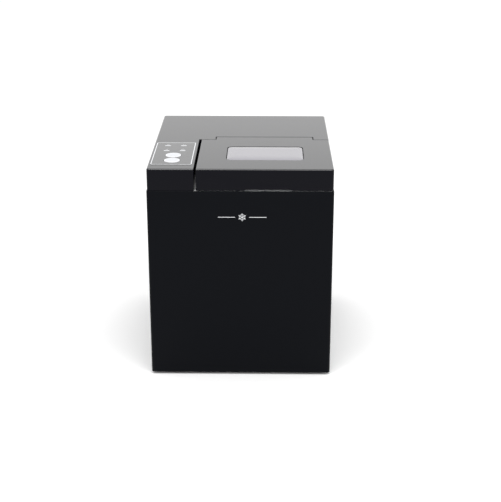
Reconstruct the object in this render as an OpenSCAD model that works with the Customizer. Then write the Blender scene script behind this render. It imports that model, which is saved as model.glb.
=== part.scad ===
// Countertop ice maker: a cabinet with a hinged ice-bin lid at the front right,
// a control console at the front left and the refrigeration plant behind.
// Origin: centre of the footprint at the soles of the feet. +Z up, front faces -Y, +X right.

/* [Cabinet] */
// Overall width of the cabinet
body_w = 292; // [270:1:350]
// Overall depth of the cabinet
body_d = 342; // [320:1:410]
// Height of the cabinet above its feet
body_h = 346; // [330:1:415]
// Height of the rubber feet
foot_h = 4; // [2:0.5:10]
// Wall thickness of the plastic mouldings
wall = 2.4; // [2:0.1:3]
// Radius of the upright corners
corner_r = 4.5; // [3:0.5:8]
// Height of the top section above the seam
top_h = 35.5; // [32:0.5:45]
// How far the top section is set in from the lower casing
inset = 1; // [0.5:0.1:2]
// Width of the return flanges beside the rear panel
flange_w = 14; // [10:1:20]
// Thickness of the base pan
pan_t = 3; // [2:0.5:4]

/* [Lid] */
// Width of the console to the left of the lid
console_w = 74; // [68:1:90]
// Gap between the console and the lid
console_gap = 3.4; // [2:0.2:5]
// Depth of the lid from front to rear edge
lid_d = 175.5; // [165:0.5:185]
// How far the hinge tongue reaches behind the lid
tongue_d = 17; // [16:0.5:20]
// Width of the hinge tongue
tongue_w = 162; // [120:1:164]
// Distance of the tongue from the right side of the cabinet
tongue_right = 28; // [26:1:34]
// Gap behind the lid and under its apron
lid_gap = 0.8; // [0.6:0.1:1.2]
// Depth of the hinge axis below the top surface
hinge_drop = 5.5; // [8:0.5:10]
// Radius of the hinge pins
hinge_pin_r = 2; // [1.5:0.5:3]
// Largest opening angle of the lid, degrees
lid_open = 95; // [80:1:95]
// Width of the window
window_w = 122; // [90:1:130]
// Depth of the window from front to back
window_d = 78; // [60:1:84]
// Distance of the window's centre from the front
window_y = 92; // [88:1:96]
// Height of the window's crown above the lid
window_crown = 1.5; // [0.5:0.5:3]

/* [Controls] */
// Diameter of each push button
button_dia = 25; // [20:1:26]
// Travel of the push buttons
button_travel = 1.2; // [0.5:0.1:2]
// Clearance round each button
button_gap = 0.5; // [0.4:0.1:1]
// Distance of the front button's centre from the front
button_y = 48; // [46:1:50]
// Spacing of the two buttons
button_pitch = 29.5; // [28:0.5:32]
// Width of each indicator window
lamp_w = 9; // [6:1:10]

/* [Ice compartment] */
// Width of the insulated tub, inside
tub_w = 188; // [180:1:190]
// Depth of the tub, inside
tub_d = 155; // [152:1:158]
// Wall thickness of the tub
tub_t = 2; // [1.5:0.1:3]
// Thickness of the insulation round the tub
foam_t = 4; // [3:0.5:5]
// Height of the tub's floor above the base pan
tub_lift = 34; // [32:1:40]
// Height of the reservoir under the basket
reservoir_h = 66; // [60:1:70]
// Depth of the ice basket from front to back
basket_d = 80; // [60:1:82]
// Height of the ice basket
basket_h = 82; // [70:1:84]
// Travel of the basket under the closed lid
basket_lift = 60; // [30:1:70]
// Number of freezing fingers in the front row
finger_count = 5; // [3:1:6]
// Radius of each freezing finger
finger_r = 4.5; // [4:0.5:5]
// Outer radius of the swinging water tray
tray_r = 34; // [33:0.5:34]
// Length of the water tray
tray_w = 140; // [130:1:144]
// Tilt of the water tray, degrees
tray_tilt = 85; // [60:1:85]
// Travel of the ice shovel
shovel_travel = 58; // [40:1:60]

/* [Refrigeration] */
// Diameter of the compressor
compressor_dia = 108; // [90:1:112]
// Height of the compressor shell
compressor_h = 142; // [120:1:160]
// Radius of the condenser fan
fan_r = 56; // [45:1:58]
// Number of fan blades
blade_count = 5; // [3:1:7]
// Outer radius of the refrigerant lines
line_r = 2.5; // [2:0.25:3]

/* [Hidden] */
$fn = 48;
eps = 0.01;

fit = 0.3;
z0 = foot_h;
z_top = foot_h + body_h;
z_seam = z_top - top_h;
y_front = -body_d / 2;
y_rear = body_d / 2;
x_side = body_w / 2;
pan_top = z0 + pan_t;

// Inside faces of the casing. The rear panel is sunk between the flanges so that its screw heads are flush
in_x = x_side - wall;
in_front = y_front + wall;
panel_sink = 2;
panel_out = y_rear - panel_sink;
panel_in = panel_out - wall;
strip_t = 3;
in_rear = panel_in - strip_t;
screw_r = 1.6;
head_r = 3.6;
screw_zs = [z0 + 30, z_seam - 30];
boss_r = 5;
boss_h = 22;
boss_x = in_x - boss_r;
boss_ys = [in_front + 12, in_rear - 12];
ledge_w = 3.4;
ledge_t = 4;

// Lid outline
lid_left = -x_side + console_w + console_gap;
lid_right = x_side - inset;
lid_front = y_front + inset;
lid_rear = y_front + lid_d;
tongue_x1 = x_side - tongue_right;
tongue_x0 = tongue_x1 - tongue_w;
tongue_rear = lid_rear + tongue_d;
hinge_y = tongue_rear - 10;
hinge_z = z_top - hinge_drop;
barrel_r = 5.5;
// Sweep of the lid's rear wall, kept clear of the cover on both sides of the tongue
sweep_r = 8.6;
ear_t = 7;
apron_z = z_seam + lid_gap;
pin_in = 12;
notch_x0 = 4.5;
notch_x1 = 82.5;
notch_h = 2;
window_x = (lid_left + lid_right) / 2;
window_r = 8;
lens_flange = 1.6;
lens_z = z_top - wall - lens_flange;
gasket_h = 2.5;
liner_z = z_top - 24;
liner_t = 2;

// Ice compartment
tub_x = (lid_left + lid_right) / 2 - 0.5;
tub_x0 = tub_x - tub_w / 2;
tub_x1 = tub_x + tub_w / 2;
tub_y0 = in_front + foam_t + tub_t + 4;
tub_y1 = tub_y0 + tub_d;
tub_z = pan_top + tub_lift;
tub_top = z_seam - 2;
shelf_z = tub_z + reservoir_h + basket_h + 22;
basket_z = tub_z + reservoir_h + 6;
basket_x0 = tub_x0 + 5;
basket_x1 = tub_x1 - 5;
basket_y0 = tub_y0 + 4;
basket_y1 = basket_y0 + basket_d;
basket_t = 1.8;
shoulder_w = 12;
drain_r = 8;
drain_bore = 4.5;
drain_y = tub_y0 + 34;
drain_z = tub_z + 11;
drain_travel = 12;
float_x = tub_x0 + 24;
float_y = tub_y0 + 24;
float_travel = 18;

// Water tray: a trough that swings about its own centre line
tray_y = tub_y1 - tray_r - 1.5;
tray_z = shelf_z + 26 + tray_r;
tray_t = 2;
tray_half_angle = 65;
tray_x0 = tub_x - tray_w / 2;
tray_x1 = tub_x + tray_w / 2;
shaft_r = 4;
bush_r = 7;
row_gap = 10;
header_r = 5;
header_z = tray_z + 6;
riser_x = [tray_x0 + 14, tray_x0 + 22];
line_z = tray_z + tray_r + 4;
hose_r = 3;
hose_x = -in_x + 44;
hose_y = tray_y - 20;
hose_z = tray_z + 20;
motor_half = 16;
motor_len = 24;
pump_y = hose_y;
pump_z = drain_z;
shelf_t = 2;
shovel_h = 24;
shovel_t = 2;

// Buttons and lamps
button_x = -x_side + (console_w + inset) / 2;
button_ys = [y_front + button_y, y_front + button_y + button_pitch];
lamp_x = 13;
lamp_y = [y_front + button_y + button_pitch + 27, y_front + button_y + button_pitch + 57];
fascia_t = 0.4;
fascia_w = console_w - inset - 8;
fascia_y0 = y_front + 24;
fascia_d = 130;
stem_r = 4;
cap_proud = 1;
board_z = z_top - 26;
board_t = 1.6;
switch_h = 8;
board_y0 = y_front + 22;
board_d = 134;
board_w = 58;

// Power board, upright on the left wall
power_x = -in_x + 12;
power_t = 1.6;
power_ys = [y_front + 40, y_front + 140];
power_zs = [tub_z + 90, tub_z + 180];

// Machinery bay
rear_w = body_w - 2 * flange_w - 2 * fit;
rear_screw_x = rear_w / 2 - 6;
bay_y0 = tub_y1 + tub_t + foam_t + 3;
bay_y1 = bay_y0 + 2;
line_end = bay_y1 + 6;
comp_r = compressor_dia / 2;
comp_x = in_x - 14 - comp_r;
comp_y = in_rear - 11 - comp_r;
comp_z = pan_top + 12;
comp_top = comp_z + compressor_h;
cond_x = -in_x + 7;
cond_t = 22;
cond_y = bay_y0 + 4 + fan_r + 6;
cond_z = pan_top + 8 + fan_r + 6;
cond_half = fan_r + 5;
tube_x = cond_x + cond_t / 2;
tube_r = 3.5;
tube_pitch = 2 * cond_half / 6.1;
tube_half = cond_half - tube_pitch / 2 - tube_r - 2;
tube_z0 = cond_z - 2.5 * tube_pitch;
tube_end = cond_y - tube_half;
feed_y = bay_y1 + 10;
shroud_x = cond_x + cond_t + 1;
duct_len = 24;
fan_x = shroud_x + 12;
fan_t = 12;
fan_gap = 2;
fan_motor_r = 18;
drier_x0 = shroud_x + 50;
drier_x1 = riser_x[0] - 10;
valve_x = [riser_x[1] + 10, riser_x[1] + 42];
vent_rows = floor((compressor_h - 10) / 9);
vent_w = min(90, 2 * (rear_w / 2 - comp_x - 6));
gas_z = comp_top + 34;
gas_y = bay_y1 + 22;
inlet_r = 9;
inlet_x = -30;
inlet_z = pan_top + 34;

// A rectangle with round corners, centred
module round_rect(w, d, r) {
    square([w - 2 * r, d], center = true);
    square([w, d - 2 * r], center = true);
    for (sx = [-1, 1], sy = [-1, 1])
        translate([sx * (w / 2 - r), sy * (d / 2 - r)]) circle(r);
}

// A block given by its low corner and its size
module block(low, size) translate(low) cube(size);

// A rod along X, Y or Z from a point
module rod(at, len, r, dir = "z") {
    turn = dir == "x" ? [0, 90, 0] : dir == "y" ? [-90, 0, 0] : [0, 0, 0];
    translate(at) rotate(turn) cylinder(h = len, r = r);
}

// A tube that runs straight between points, with a ball at every bend
module pipe(points, r) {
    for (i = [0 : len(points) - 2]) {
        a = points[i];
        b = points[i + 1];
        d = b - a;
        turn = abs(d.x) > eps ? [0, d.x > 0 ? 90 : -90, 0]
             : abs(d.y) > eps ? [d.y > 0 ? -90 : 90, 0, 0]
             : [d.z > 0 ? 0 : 180, 0, 0];
        translate(a) rotate(turn) cylinder(h = norm(d), r = r);
        if (i > 0) translate(a) sphere(r);
    }
}

// A row of upright slots through a plate that lies along Y
module side_slots(y0, y1, z_low, z_high, x, depth, pitch = 9, slot = 4) {
    count = floor((y1 - y0) / pitch);
    start = (y0 + y1) / 2 - (count - 1) * pitch / 2;
    for (i = [0 : count - 1])
        block([x - depth / 2, start + i * pitch - slot / 2, z_low], [depth, slot, z_high - z_low]);
}

// Outline of the top section, less the lid: console, rear deck and the notch for the tongue
module cover_plan(shrink = 0) {
    s = shrink;
    difference() {
        round_rect(body_w - 2 * inset - 2 * s, body_d - 2 * inset - 2 * s, corner_r - s * 0.5);
        translate([lid_left - console_gap - s, -body_d])
            square([body_w, body_d + lid_rear + lid_gap + s]);
        translate([tongue_x0 - lid_gap - s, lid_rear])
            square([tongue_w + 2 * lid_gap + 2 * s, tongue_d + lid_gap + s]);
    }
}

module lid_plan() {
    intersection() {
        round_rect(body_w - 2 * inset, body_d - 2 * inset, corner_r);
        union() {
            translate([lid_left, -body_d]) square([body_w, body_d + lid_rear]);
            translate([tongue_x0, 0]) square([tongue_w, tongue_rear]);
        }
    }
}

module base_pan() {
    floor_w = 2 * (in_x - fit);
    floor_d = in_rear - in_front - 2 * fit;
    lip = 14;
    color([0.12, 0.12, 0.13]) difference() {
        translate([0, 0, z0]) linear_extrude(lip) round_rect(floor_w, floor_d, corner_r - wall / 2);
        translate([0, 0, pan_top]) linear_extrude(lip) round_rect(floor_w - 2 * wall, floor_d - 2 * wall, corner_r - wall);
        for (sx = [-1, 1], y = boss_ys) {
            rod([sx * boss_x, y, z0 - 1], pan_t + 2, screw_r + fit);
            rod([sx * boss_x, y, pan_top], 20, boss_r + fit);
            block([sx * boss_x + (sx > 0 ? 0 : -20), y - boss_r - fit, pan_top], [20, 2 * (boss_r + fit), 20]);
        }
        for (i = [0 : 6]) block([tub_x - 30 + i * 10, tub_y0 + 40, z0 - 1], [4, 60, pan_t + 2]);
    }
}

module rubber_feet() {
    for (sx = [-1, 1], sy = [-1, 1])
        color([0.07, 0.07, 0.07]) translate([sx * (x_side - 26), sy * (y_rear - 26), 0])
            cylinder(h = foot_h, r = 11);
}

module body_shell() {
    h = z_seam - z0;
    strip_w = flange_w + 12;
    color([0.09, 0.09, 0.11]) difference() {
        union() {
            translate([0, 0, z0]) linear_extrude(h) difference() {
                round_rect(body_w, body_d, corner_r);
                round_rect(body_w - 2 * wall, body_d - 2 * wall, corner_r - wall / 2);
                translate([-x_side + flange_w, 0]) square([body_w - 2 * flange_w, body_d]);
            }
            // Upright strips that the rear panel lies against
            for (sx = [-1, 1])
                translate([sx * (x_side - wall / 2 - strip_w / 2) - strip_w / 2, in_rear, pan_top + 14])
                    cube([strip_w, strip_t, z_seam - pan_top - 14]);
            // Corner bosses for the screws through the base pan
            for (sx = [-1, 1], y = boss_ys) {
                rod([sx * boss_x, y, pan_top], boss_h, boss_r);
                block([sx * boss_x + (sx > 0 ? 0 : -boss_r - wall / 2), y - boss_r, pan_top],
                      [boss_r + wall / 2, 2 * boss_r, boss_h]);
            }
            // Ledge under the collar of the ice bin
            block([tub_x0, in_front - wall / 2, tub_top - ledge_t], [tub_w, ledge_w + wall / 2, ledge_t]);
            block([in_x - ledge_w, tub_y0, tub_top - ledge_t], [ledge_w + wall / 2, tub_d, ledge_t]);
            // Posts that carry the power board
            for (y = power_ys, z = power_zs) rod([-in_x - wall / 2, y, z], power_x + in_x + wall / 2, 3.5, "x");
        }
        for (sx = [-1, 1], y = boss_ys) rod([sx * boss_x, y, pan_top - 1], boss_h - 2, screw_r);
        for (sx = [-1, 1], z = screw_zs) rod([sx * rear_screw_x, in_rear - 1, z], strip_t + 2, screw_r, "y");
        // Exhaust grille beside the condenser and intake grille beside the compressor
        side_slots(cond_y - 48, cond_y + 48, cond_z - 44, cond_z + 44, -x_side, 4 * wall);
        side_slots(comp_y - 44, comp_y + 44, comp_z + 20, comp_z + 100, x_side, 4 * wall);
        rod([in_x - 2, drain_y, drain_z], wall + 4, drain_r + 1.5, "x");
    }
}

module rear_panel() {
    h = z_seam - z0 - fit;
    color([0.09, 0.09, 0.11]) difference() {
        block([-rear_w / 2, panel_in, z0], [rear_w, wall, h]);
        for (k = [0 : vent_rows - 1])
            block([comp_x - vent_w / 2, panel_in - 1, comp_z + 16 + k * 9], [vent_w, wall + 2, 4]);
        rod([inlet_x, panel_in - 1, inlet_z], wall + 2, inlet_r + fit, "y");
        for (sx = [-1, 1], z = screw_zs)
            rod([sx * rear_screw_x, panel_in - 1, z], wall + 2, screw_r + fit, "y");
    }
}

module rear_screws() {
    for (sx = [-1, 1], z = screw_zs) color([0.5, 0.5, 0.52]) {
        rod([sx * rear_screw_x, in_rear - 3, z], panel_out - in_rear + 3 + eps, screw_r - 0.05, "y");
        rod([sx * rear_screw_x, panel_out, z], panel_sink - 0.2, head_r, "y");
    }
}

module casing_screws() {
    for (sx = [-1, 1], y = boss_ys) color([0.5, 0.5, 0.52]) {
        rod([sx * boss_x, y, z0 - eps], pan_t + boss_h - 4, screw_r - 0.05);
        rod([sx * boss_x, y, z0 - 2], 2, head_r);
    }
}

module top_cover() {
    h = z_top - z_seam;
    color([0.1, 0.1, 0.12]) difference() {
        union() {
            difference() {
                translate([0, 0, z_seam]) linear_extrude(h) cover_plan();
                translate([0, 0, z_seam - 1]) linear_extrude(h + 1 - wall) cover_plan(wall);
            }
            // Ears that hold the hinge pins, on the notch's two ends
            for (x = [tongue_x0 - lid_gap - ear_t, tongue_x1 + lid_gap])
                block([x, lid_rear + lid_gap, hinge_z - 9], [ear_t, tongue_d, 9 + hinge_drop]);
            // Floor of the notch, clear of the tongue's corner as it turns
            block([tongue_x0 - lid_gap - wall, lid_rear + lid_gap, hinge_z - 15.4],
                  [tongue_w + 2 * (lid_gap + wall), tongue_d + wall, 2.4]);
            // Posts that carry the control board
            for (sx = [-1, 1], y = [board_y0 + 6, board_y0 + board_d - 6])
                rod([button_x + sx * (board_w / 2 - 5), y, board_z + board_t], z_top - wall / 2 - board_z - board_t, 3);
        }
        rod([tongue_x0 - 30, hinge_y, hinge_z], tongue_w + 60, hinge_pin_r + 0.05, "x");
        for (y = button_ys) rod([button_x, y, z_top - wall - 1], wall + 2, button_dia / 2 + button_gap);
        for (y = lamp_y, sx = [-1, 1]) lamp_cut(sx, y);
    }
}

module lamp_cut(sx, y, grow = 0.1) {
    block([button_x + sx * lamp_x - lamp_w / 2 - grow, y - 1.5 - grow, z_top - wall - 1],
          [lamp_w + 2 * grow, 3 + 2 * grow, wall + 2]);
}

// A ring of rectangular plan round the tub's mouth, between two outward offsets
module mouth_ring(low, high, z, h) {
    translate([tub_x, (tub_y0 + tub_y1) / 2, z]) linear_extrude(h) difference() {
        round_rect(tub_w + 2 * high, tub_d + 2 * high, 6 + high);
        round_rect(tub_w + 2 * low, tub_d + 2 * low, 6 + low);
    }
}

// The rounded bar that the lid turns on, as a profile in Y and Z
module tongue_profile() {
    r = 3;
    translate([hinge_y, hinge_z]) circle(barrel_r);
    translate([lid_rear - wall, hinge_z]) square([tongue_d + wall, hinge_drop - r]);
    translate([lid_rear - wall, hinge_z]) square([tongue_d + wall - r, hinge_drop]);
    translate([tongue_rear - r, z_top - r]) circle(r);
}

module lid_shell() {
    edge = 3 * wall;
    color([0.1, 0.1, 0.12]) difference() {
        union() {
            difference() {
                translate([0, 0, apron_z]) linear_extrude(z_top - apron_z) intersection() {
                    lid_plan();
                    translate([lid_left, -body_d]) square([body_w, body_d + lid_rear]);
                }
                block([lid_left + wall, lid_front + wall, apron_z - 1],
                      [lid_right - lid_left - 2 * wall, lid_rear - lid_front - 2 * wall, z_top - wall - apron_z + 1]);
                // The left and rear walls stop at the liner, clear of the bin's collar
                block([lid_left - 1, lid_front + wall, apron_z - 1], [edge, body_d, liner_z - apron_z + 1]);
                block([lid_left - 1, lid_rear - edge, apron_z - 1], [lid_right - wall - lid_left + 1, edge + 1, liner_z - apron_z + 1]);
            }
            translate([tongue_x0, 0, 0]) rotate([90, 0, 90]) linear_extrude(tongue_w) tongue_profile();
        }
        for (x = [tongue_x0 - 1, tongue_x1 - pin_in]) rod([x, hinge_y, hinge_z], pin_in + 1, hinge_pin_r, "x");
        translate([window_x, y_front + window_y, z_top - wall - 1])
            linear_extrude(wall + 2) round_rect(window_w + 1.6, window_d + 1.6, window_r + 0.8);
        // Rear wall hollowed beside the tongue, so it turns clear of the cover
        for (span = [[lid_left - 1, tongue_x0], [tongue_x1, lid_right + 1]])
            rod([span[0], hinge_y, hinge_z], span[1] - span[0], sweep_r, "x");
        // Finger notch under the front apron
        translate([0, lid_front - 1, apron_z - eps]) rotate([90, 0, 0]) mirror([0, 0, 1]) linear_extrude(wall + 2)
            polygon([[notch_x0, 0], [notch_x0 + 5, notch_h], [notch_x1 - 5, notch_h], [notch_x1, 0]]);
    }
}

module lid_liner() {
    w = lid_right - lid_left - 2 * wall - 2;
    d = lid_rear - lid_front - 2 * wall - 2;
    cx = (lid_left + lid_right) / 2;
    cy = (lid_front + lid_rear) / 2;
    rim = 1.6;
    color([0.85, 0.86, 0.87]) difference() {
        union() {
            translate([cx, cy, liner_z]) linear_extrude(z_top - wall - liner_z) difference() {
                round_rect(w, d, 3);
                round_rect(w - 2 * rim, d - 2 * rim, 2);
            }
            translate([cx, cy, liner_z]) linear_extrude(liner_t) round_rect(w, d, 3);
            translate([window_x, y_front + window_y, liner_z])
                linear_extrude(lens_z - liner_z) round_rect(window_w, window_d, window_r);
        }
        translate([window_x, y_front + window_y, liner_z - 1])
            linear_extrude(z_top - liner_z) round_rect(window_w - 2 * rim, window_d - 2 * rim, window_r - rim);
    }
}

module lid_window() {
    color([0.75, 0.76, 0.78, 0.6]) translate([window_x, y_front + window_y, 0]) difference() {
        union() {
            translate([0, 0, lens_z]) linear_extrude(lens_flange) round_rect(window_w + 8, window_d + 8, window_r + 4);
            translate([0, 0, lens_z]) linear_extrude(z_top - lens_z) round_rect(window_w, window_d, window_r);
            translate([0, 0, lens_z]) linear_extrude(z_top + window_crown - lens_z)
                round_rect(window_w - 20, window_d - 20, window_r);
        }
        translate([0, 0, lens_z - 1]) linear_extrude(3.2) round_rect(window_w - 24, window_d - 24, window_r - 2);
    }
}

module lid_gasket() {
    color([0.75, 0.75, 0.76]) mouth_ring(0.5, 3.5, liner_z - gasket_h, gasket_h);
}

module hinge_pins() {
    for (side = [0, 1]) color([0.7, 0.7, 0.72])
        rod([side == 0 ? tongue_x0 - lid_gap - ear_t + 1 : tongue_x1 - pin_in, hinge_y, hinge_z],
            pin_in + lid_gap + ear_t - 1, hinge_pin_r, "x");
}

module control_fascia() {
    color([0.08, 0.08, 0.09]) difference() {
        translate([button_x, fascia_y0 + fascia_d / 2, z_top]) linear_extrude(fascia_t)
            round_rect(fascia_w, fascia_d, 2.5);
        for (y = button_ys) rod([button_x, y, z_top - 1], 3, button_dia / 2 + button_gap);
        for (y = lamp_y, sx = [-1, 1]) translate([0, 0, wall]) lamp_cut(sx, y);
    }
}

module indicator_lenses() {
    for (y = lamp_y, sx = [-1, 1]) color([0.85, 0.86, 0.88])
        block([button_x + sx * lamp_x - lamp_w / 2, y - 1.5, z_top - wall - 2], [lamp_w, 3, wall + 2 + fascia_t]);
}

// A push button: cap, retaining flange under the cover and a stem above its switch
module push_button(y) {
    stem_z = board_z + board_t + switch_h + button_travel + 0.1;
    color([0.78, 0.79, 0.81]) {
        rod([button_x, y, z_top - wall - 2], wall + 2 + cap_proud, button_dia / 2);
        rod([button_x, y, z_top - wall - 2.2], 2, button_dia / 2 + 1.3);
        rod([button_x, y, stem_z], z_top - wall - 2 - stem_z, stem_r);
    }
}

module power_button() push_button(button_ys[0]);

module select_button() push_button(button_ys[1]);

module control_board() {
    color([0.12, 0.35, 0.2]) {
        block([button_x - board_w / 2, board_y0, board_z], [board_w, board_d, board_t]);
        for (y = button_ys) {
            block([button_x - 6, y - 6, board_z + board_t - eps], [12, 12, switch_h - 2]);
            rod([button_x, y, board_z + board_t], switch_h, 3);
        }
        for (y = lamp_y, sx = [-1, 1]) rod([button_x + sx * lamp_x, y, board_z + board_t - eps], 9, 2.5);
        block([button_x - 20, board_y0 + 8, board_z - 8], [26, 10, 8 + eps]);
    }
}

module bin_tub() {
    color([0.9, 0.91, 0.92]) difference() {
        union() {
            translate([tub_x, (tub_y0 + tub_y1) / 2, tub_z - tub_t]) linear_extrude(tub_top - tub_z + tub_t)
                round_rect(tub_w + 2 * tub_t, tub_d + 2 * tub_t, 6 + tub_t);
            mouth_ring(tub_t - eps, tub_t + foam_t, tub_top - 2, 2);
        }
        difference() {
            translate([tub_x, (tub_y0 + tub_y1) / 2, tub_z]) linear_extrude(body_h)
                round_rect(tub_w, tub_d, 6);
            // Shoulders that the basket stands on
            for (x = [tub_x0 - 1, tub_x1 - shoulder_w + 1])
                block([x, tub_y0 - 1, basket_z - 4], [shoulder_w, basket_d + 12, 4]);
            // Rails under the ice shelf
            for (x = [tub_x0 - 1, tub_x1 - 3])
                block([x, basket_y1 + 3, shelf_z - shelf_t - 6], [4, tub_y1 - basket_y1, 6]);
        }
        for (x = [tub_x0 - 2 * tub_t, tub_x1 - tub_t]) rod([x, tray_y, tray_z], 3 * tub_t, bush_r + 0.05, "x");
        rod([tub_x0 - 2 * tub_t, hose_y, hose_z], 3 * tub_t, hose_r + fit, "x");
        rod([tub_x0 - 2 * tub_t, pump_y, pump_z], 3 * tub_t, 3, "x");
        rod([tub_x1 - tub_t, drain_y, drain_z], 3 * tub_t, drain_bore, "x");
        for (x = riser_x) rod([x, tub_y1 - tub_t, line_z], foam_t + 3 * tub_t, line_r + fit, "y");
    }
}

module tub_insulation() {
    far = tub_t + foam_t;
    color([0.93, 0.92, 0.88]) difference() {
        translate([tub_x, (tub_y0 + tub_y1) / 2, tub_z - far]) linear_extrude(tub_top - 2 - tub_z + far)
            round_rect(tub_w + 2 * far, tub_d + 2 * far, 6 + far);
        translate([tub_x, (tub_y0 + tub_y1) / 2, tub_z - tub_t]) linear_extrude(body_h)
            round_rect(tub_w + 2 * tub_t, tub_d + 2 * tub_t, 6 + tub_t);
        for (x = [tub_x0 - 2 * far, tub_x1]) rod([x, tray_y, tray_z], 2 * far, bush_r + 1, "x");
        rod([tub_x0 - 2 * far, hose_y, hose_z], 2 * far, hose_r + fit, "x");
        rod([tub_x0 - 2 * far, pump_y, pump_z], 2 * far, 5, "x");
        rod([tub_x1, drain_y, drain_z], 2 * far, drain_r - 1 + fit, "x");
        for (x = riser_x) rod([x, tub_y1, line_z], 2 * far, line_r + fit, "y");
    }
}

// Frame round the bin's mouth, with a raised lip under the lid's gasket
module bin_collar() {
    x0 = lid_left - console_gap + fit;
    color([0.88, 0.89, 0.9]) {
        difference() {
            intersection() {
                block([x0, in_front + fit, tub_top], [in_x - fit - x0, bay_y1 - in_front - fit, z_seam - tub_top]);
                translate([0, 0, z0]) linear_extrude(body_h)
                    round_rect(body_w - 2 * wall - 2 * fit, body_d - 2 * wall - 2 * fit, corner_r - wall / 2);
            }
            translate([tub_x, (tub_y0 + tub_y1) / 2, tub_top - 1]) linear_extrude(8) round_rect(tub_w, tub_d, 6);
        }
        mouth_ring(0, 2, z_seam - eps, liner_z - gasket_h - fit - z_seam);
    }
}

module ice_shelf() {
    color([0.8, 0.82, 0.84]) {
        block([tub_x0 + fit, basket_y1 + 1, shelf_z - shelf_t], [tub_w - 2 * fit, tub_y1 - basket_y1 - 1 - 6.5, shelf_t]);
        block([tub_x0 + 4 + fit, basket_y1 + 1, shelf_z - 10], [tub_w - 8 - 2 * fit, 1.8, 10]);
    }
}

module ice_basket() {
    w = basket_x1 - basket_x0;
    cols = 13;
    rows = 5;
    slot_w = (w - 24) / cols - 5;
    color([0.82, 0.86, 0.9, 0.7]) difference() {
        translate([(basket_x0 + basket_x1) / 2, (basket_y0 + basket_y1) / 2, basket_z]) difference() {
            linear_extrude(basket_h) round_rect(w, basket_d, 8);
            translate([0, 0, basket_t]) linear_extrude(basket_h) round_rect(w - 2 * basket_t, basket_d - 2 * basket_t, 8 - basket_t);
        }
        // Drain slots in the floor and openings in the front and rear walls
        for (i = [0 : cols - 1]) {
            x = basket_x0 + 12 + (i + 0.5) * (w - 24) / cols - slot_w / 2;
            block([x, basket_y0 + 10, basket_z - 1], [slot_w, basket_d / 2 - 14, basket_t + 2]);
            block([x, basket_y0 + basket_d / 2 + 4, basket_z - 1], [slot_w, basket_d / 2 - 14, basket_t + 2]);
            block([x, basket_y0 - 1, basket_z + 12], [slot_w, basket_d + 2, basket_h / 2 - 14]);
            block([x, basket_y0 - 1, basket_z + basket_h / 2 + 2], [slot_w, basket_d + 2, basket_h / 2 - 20]);
        }
    }
}

module ice_sensors() {
    for (x = [tub_x0, tub_x1 - 4]) color([0.15, 0.15, 0.16]) {
        block([x, basket_y0 + basket_d / 2 - 8, basket_z + basket_h + 4], [4, 16, 14]);
    }
}

module evaporator() {
    x_end = tray_x1 - 14;
    color([0.72, 0.45, 0.3]) {
        for (k = [0, 1]) {
            y = tray_y + (k == 0 ? -row_gap : row_gap);
            count = finger_count - k;
            pitch = (x_end - riser_x[1] - 8) / (finger_count - 1);
            rod([riser_x[k], y, header_z], x_end - riser_x[k], header_r, "x");
            for (i = [0 : count - 1]) {
                x = riser_x[1] + 4 + (i + k / 2) * pitch;
                rod([x, y, tray_z - 21.5], header_z - tray_z + 21.5, finger_r);
                translate([x, y, tray_z - 21.5]) sphere(finger_r);
            }
            translate([riser_x[k], y, header_z]) sphere(header_r);
            pipe([[riser_x[k], y, header_z], [riser_x[k], y, line_z], [riser_x[k], line_end, line_z]], line_r);
        }
        rod([x_end, tray_y - row_gap, header_z], 2 * row_gap, header_r, "y");
        for (sy = [-1, 1]) translate([x_end, tray_y + sy * row_gap, header_z]) sphere(header_r);
    }
}

module evaporator_bracket() {
    z = tray_z + tray_r + 1.5;
    x0 = riser_x[1] + 12;
    x1 = tray_x1 - 20;
    color([0.75, 0.76, 0.78]) {
        block([x0, tray_y - row_gap - 5, z], [x1 - x0, tub_y1 - tray_y + row_gap + 5 - fit, 2]);
        block([x0, tub_y1 - 2 - fit, z - 1], [x1 - x0, 2, 6]);
        for (x = [x0 + 8, x1 - 8], sy = [-1, 1])
            rod([x, tray_y + sy * (row_gap - 1), header_z + header_r + fit], z - header_z - header_r - fit + eps, 3);
    }
}

// The wedge that leaves the trough's opening
module tray_mouth() {
    a = tray_half_angle;
    far = 3 * tray_r;
    polygon([[0, 0], [far * sin(a), -far * cos(a)], [far, far], [-far, far], [-far * sin(a), -far * cos(a)]]);
}

module water_tray() {
    motor_x = tub_x0 - tub_t - foam_t;
    color([0.85, 0.88, 0.92]) {
        translate([tray_x0, tray_y, tray_z]) rotate([90, 0, 90]) linear_extrude(tray_w) difference() {
            circle(tray_r);
            circle(tray_r - tray_t);
            tray_mouth();
        }
        for (x = [tray_x0, tray_x1 - tray_t])
            translate([x, tray_y, tray_z]) rotate([90, 0, 90]) linear_extrude(tray_t) {
                difference() {
                    circle(tray_r);
                    tray_mouth();
                }
                circle(2 * shaft_r);
            }
        rod([motor_x - 10, tray_y, tray_z], tray_x0 + tray_t - motor_x + 10, shaft_r, "x");
        rod([tray_x1 - tray_t, tray_y, tray_z], tub_x1 + tub_t - tray_x1 + tray_t - 0.5, shaft_r, "x");
    }
}

module tray_motor() {
    x1 = tub_x0 - tub_t - foam_t - 0.2;
    color([0.3, 0.3, 0.32]) difference() {
        union() {
            block([x1 - motor_len, tray_y - motor_half, tray_z - motor_half], [motor_len, 2 * motor_half, 2 * motor_half]);
            rod([x1 - motor_len - 8, tray_y, tray_z], 9, motor_half - 4, "x");
        }
        rod([x1 - 11.5, tray_y, tray_z], 12.5, shaft_r + 0.05, "x");
    }
}

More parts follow.
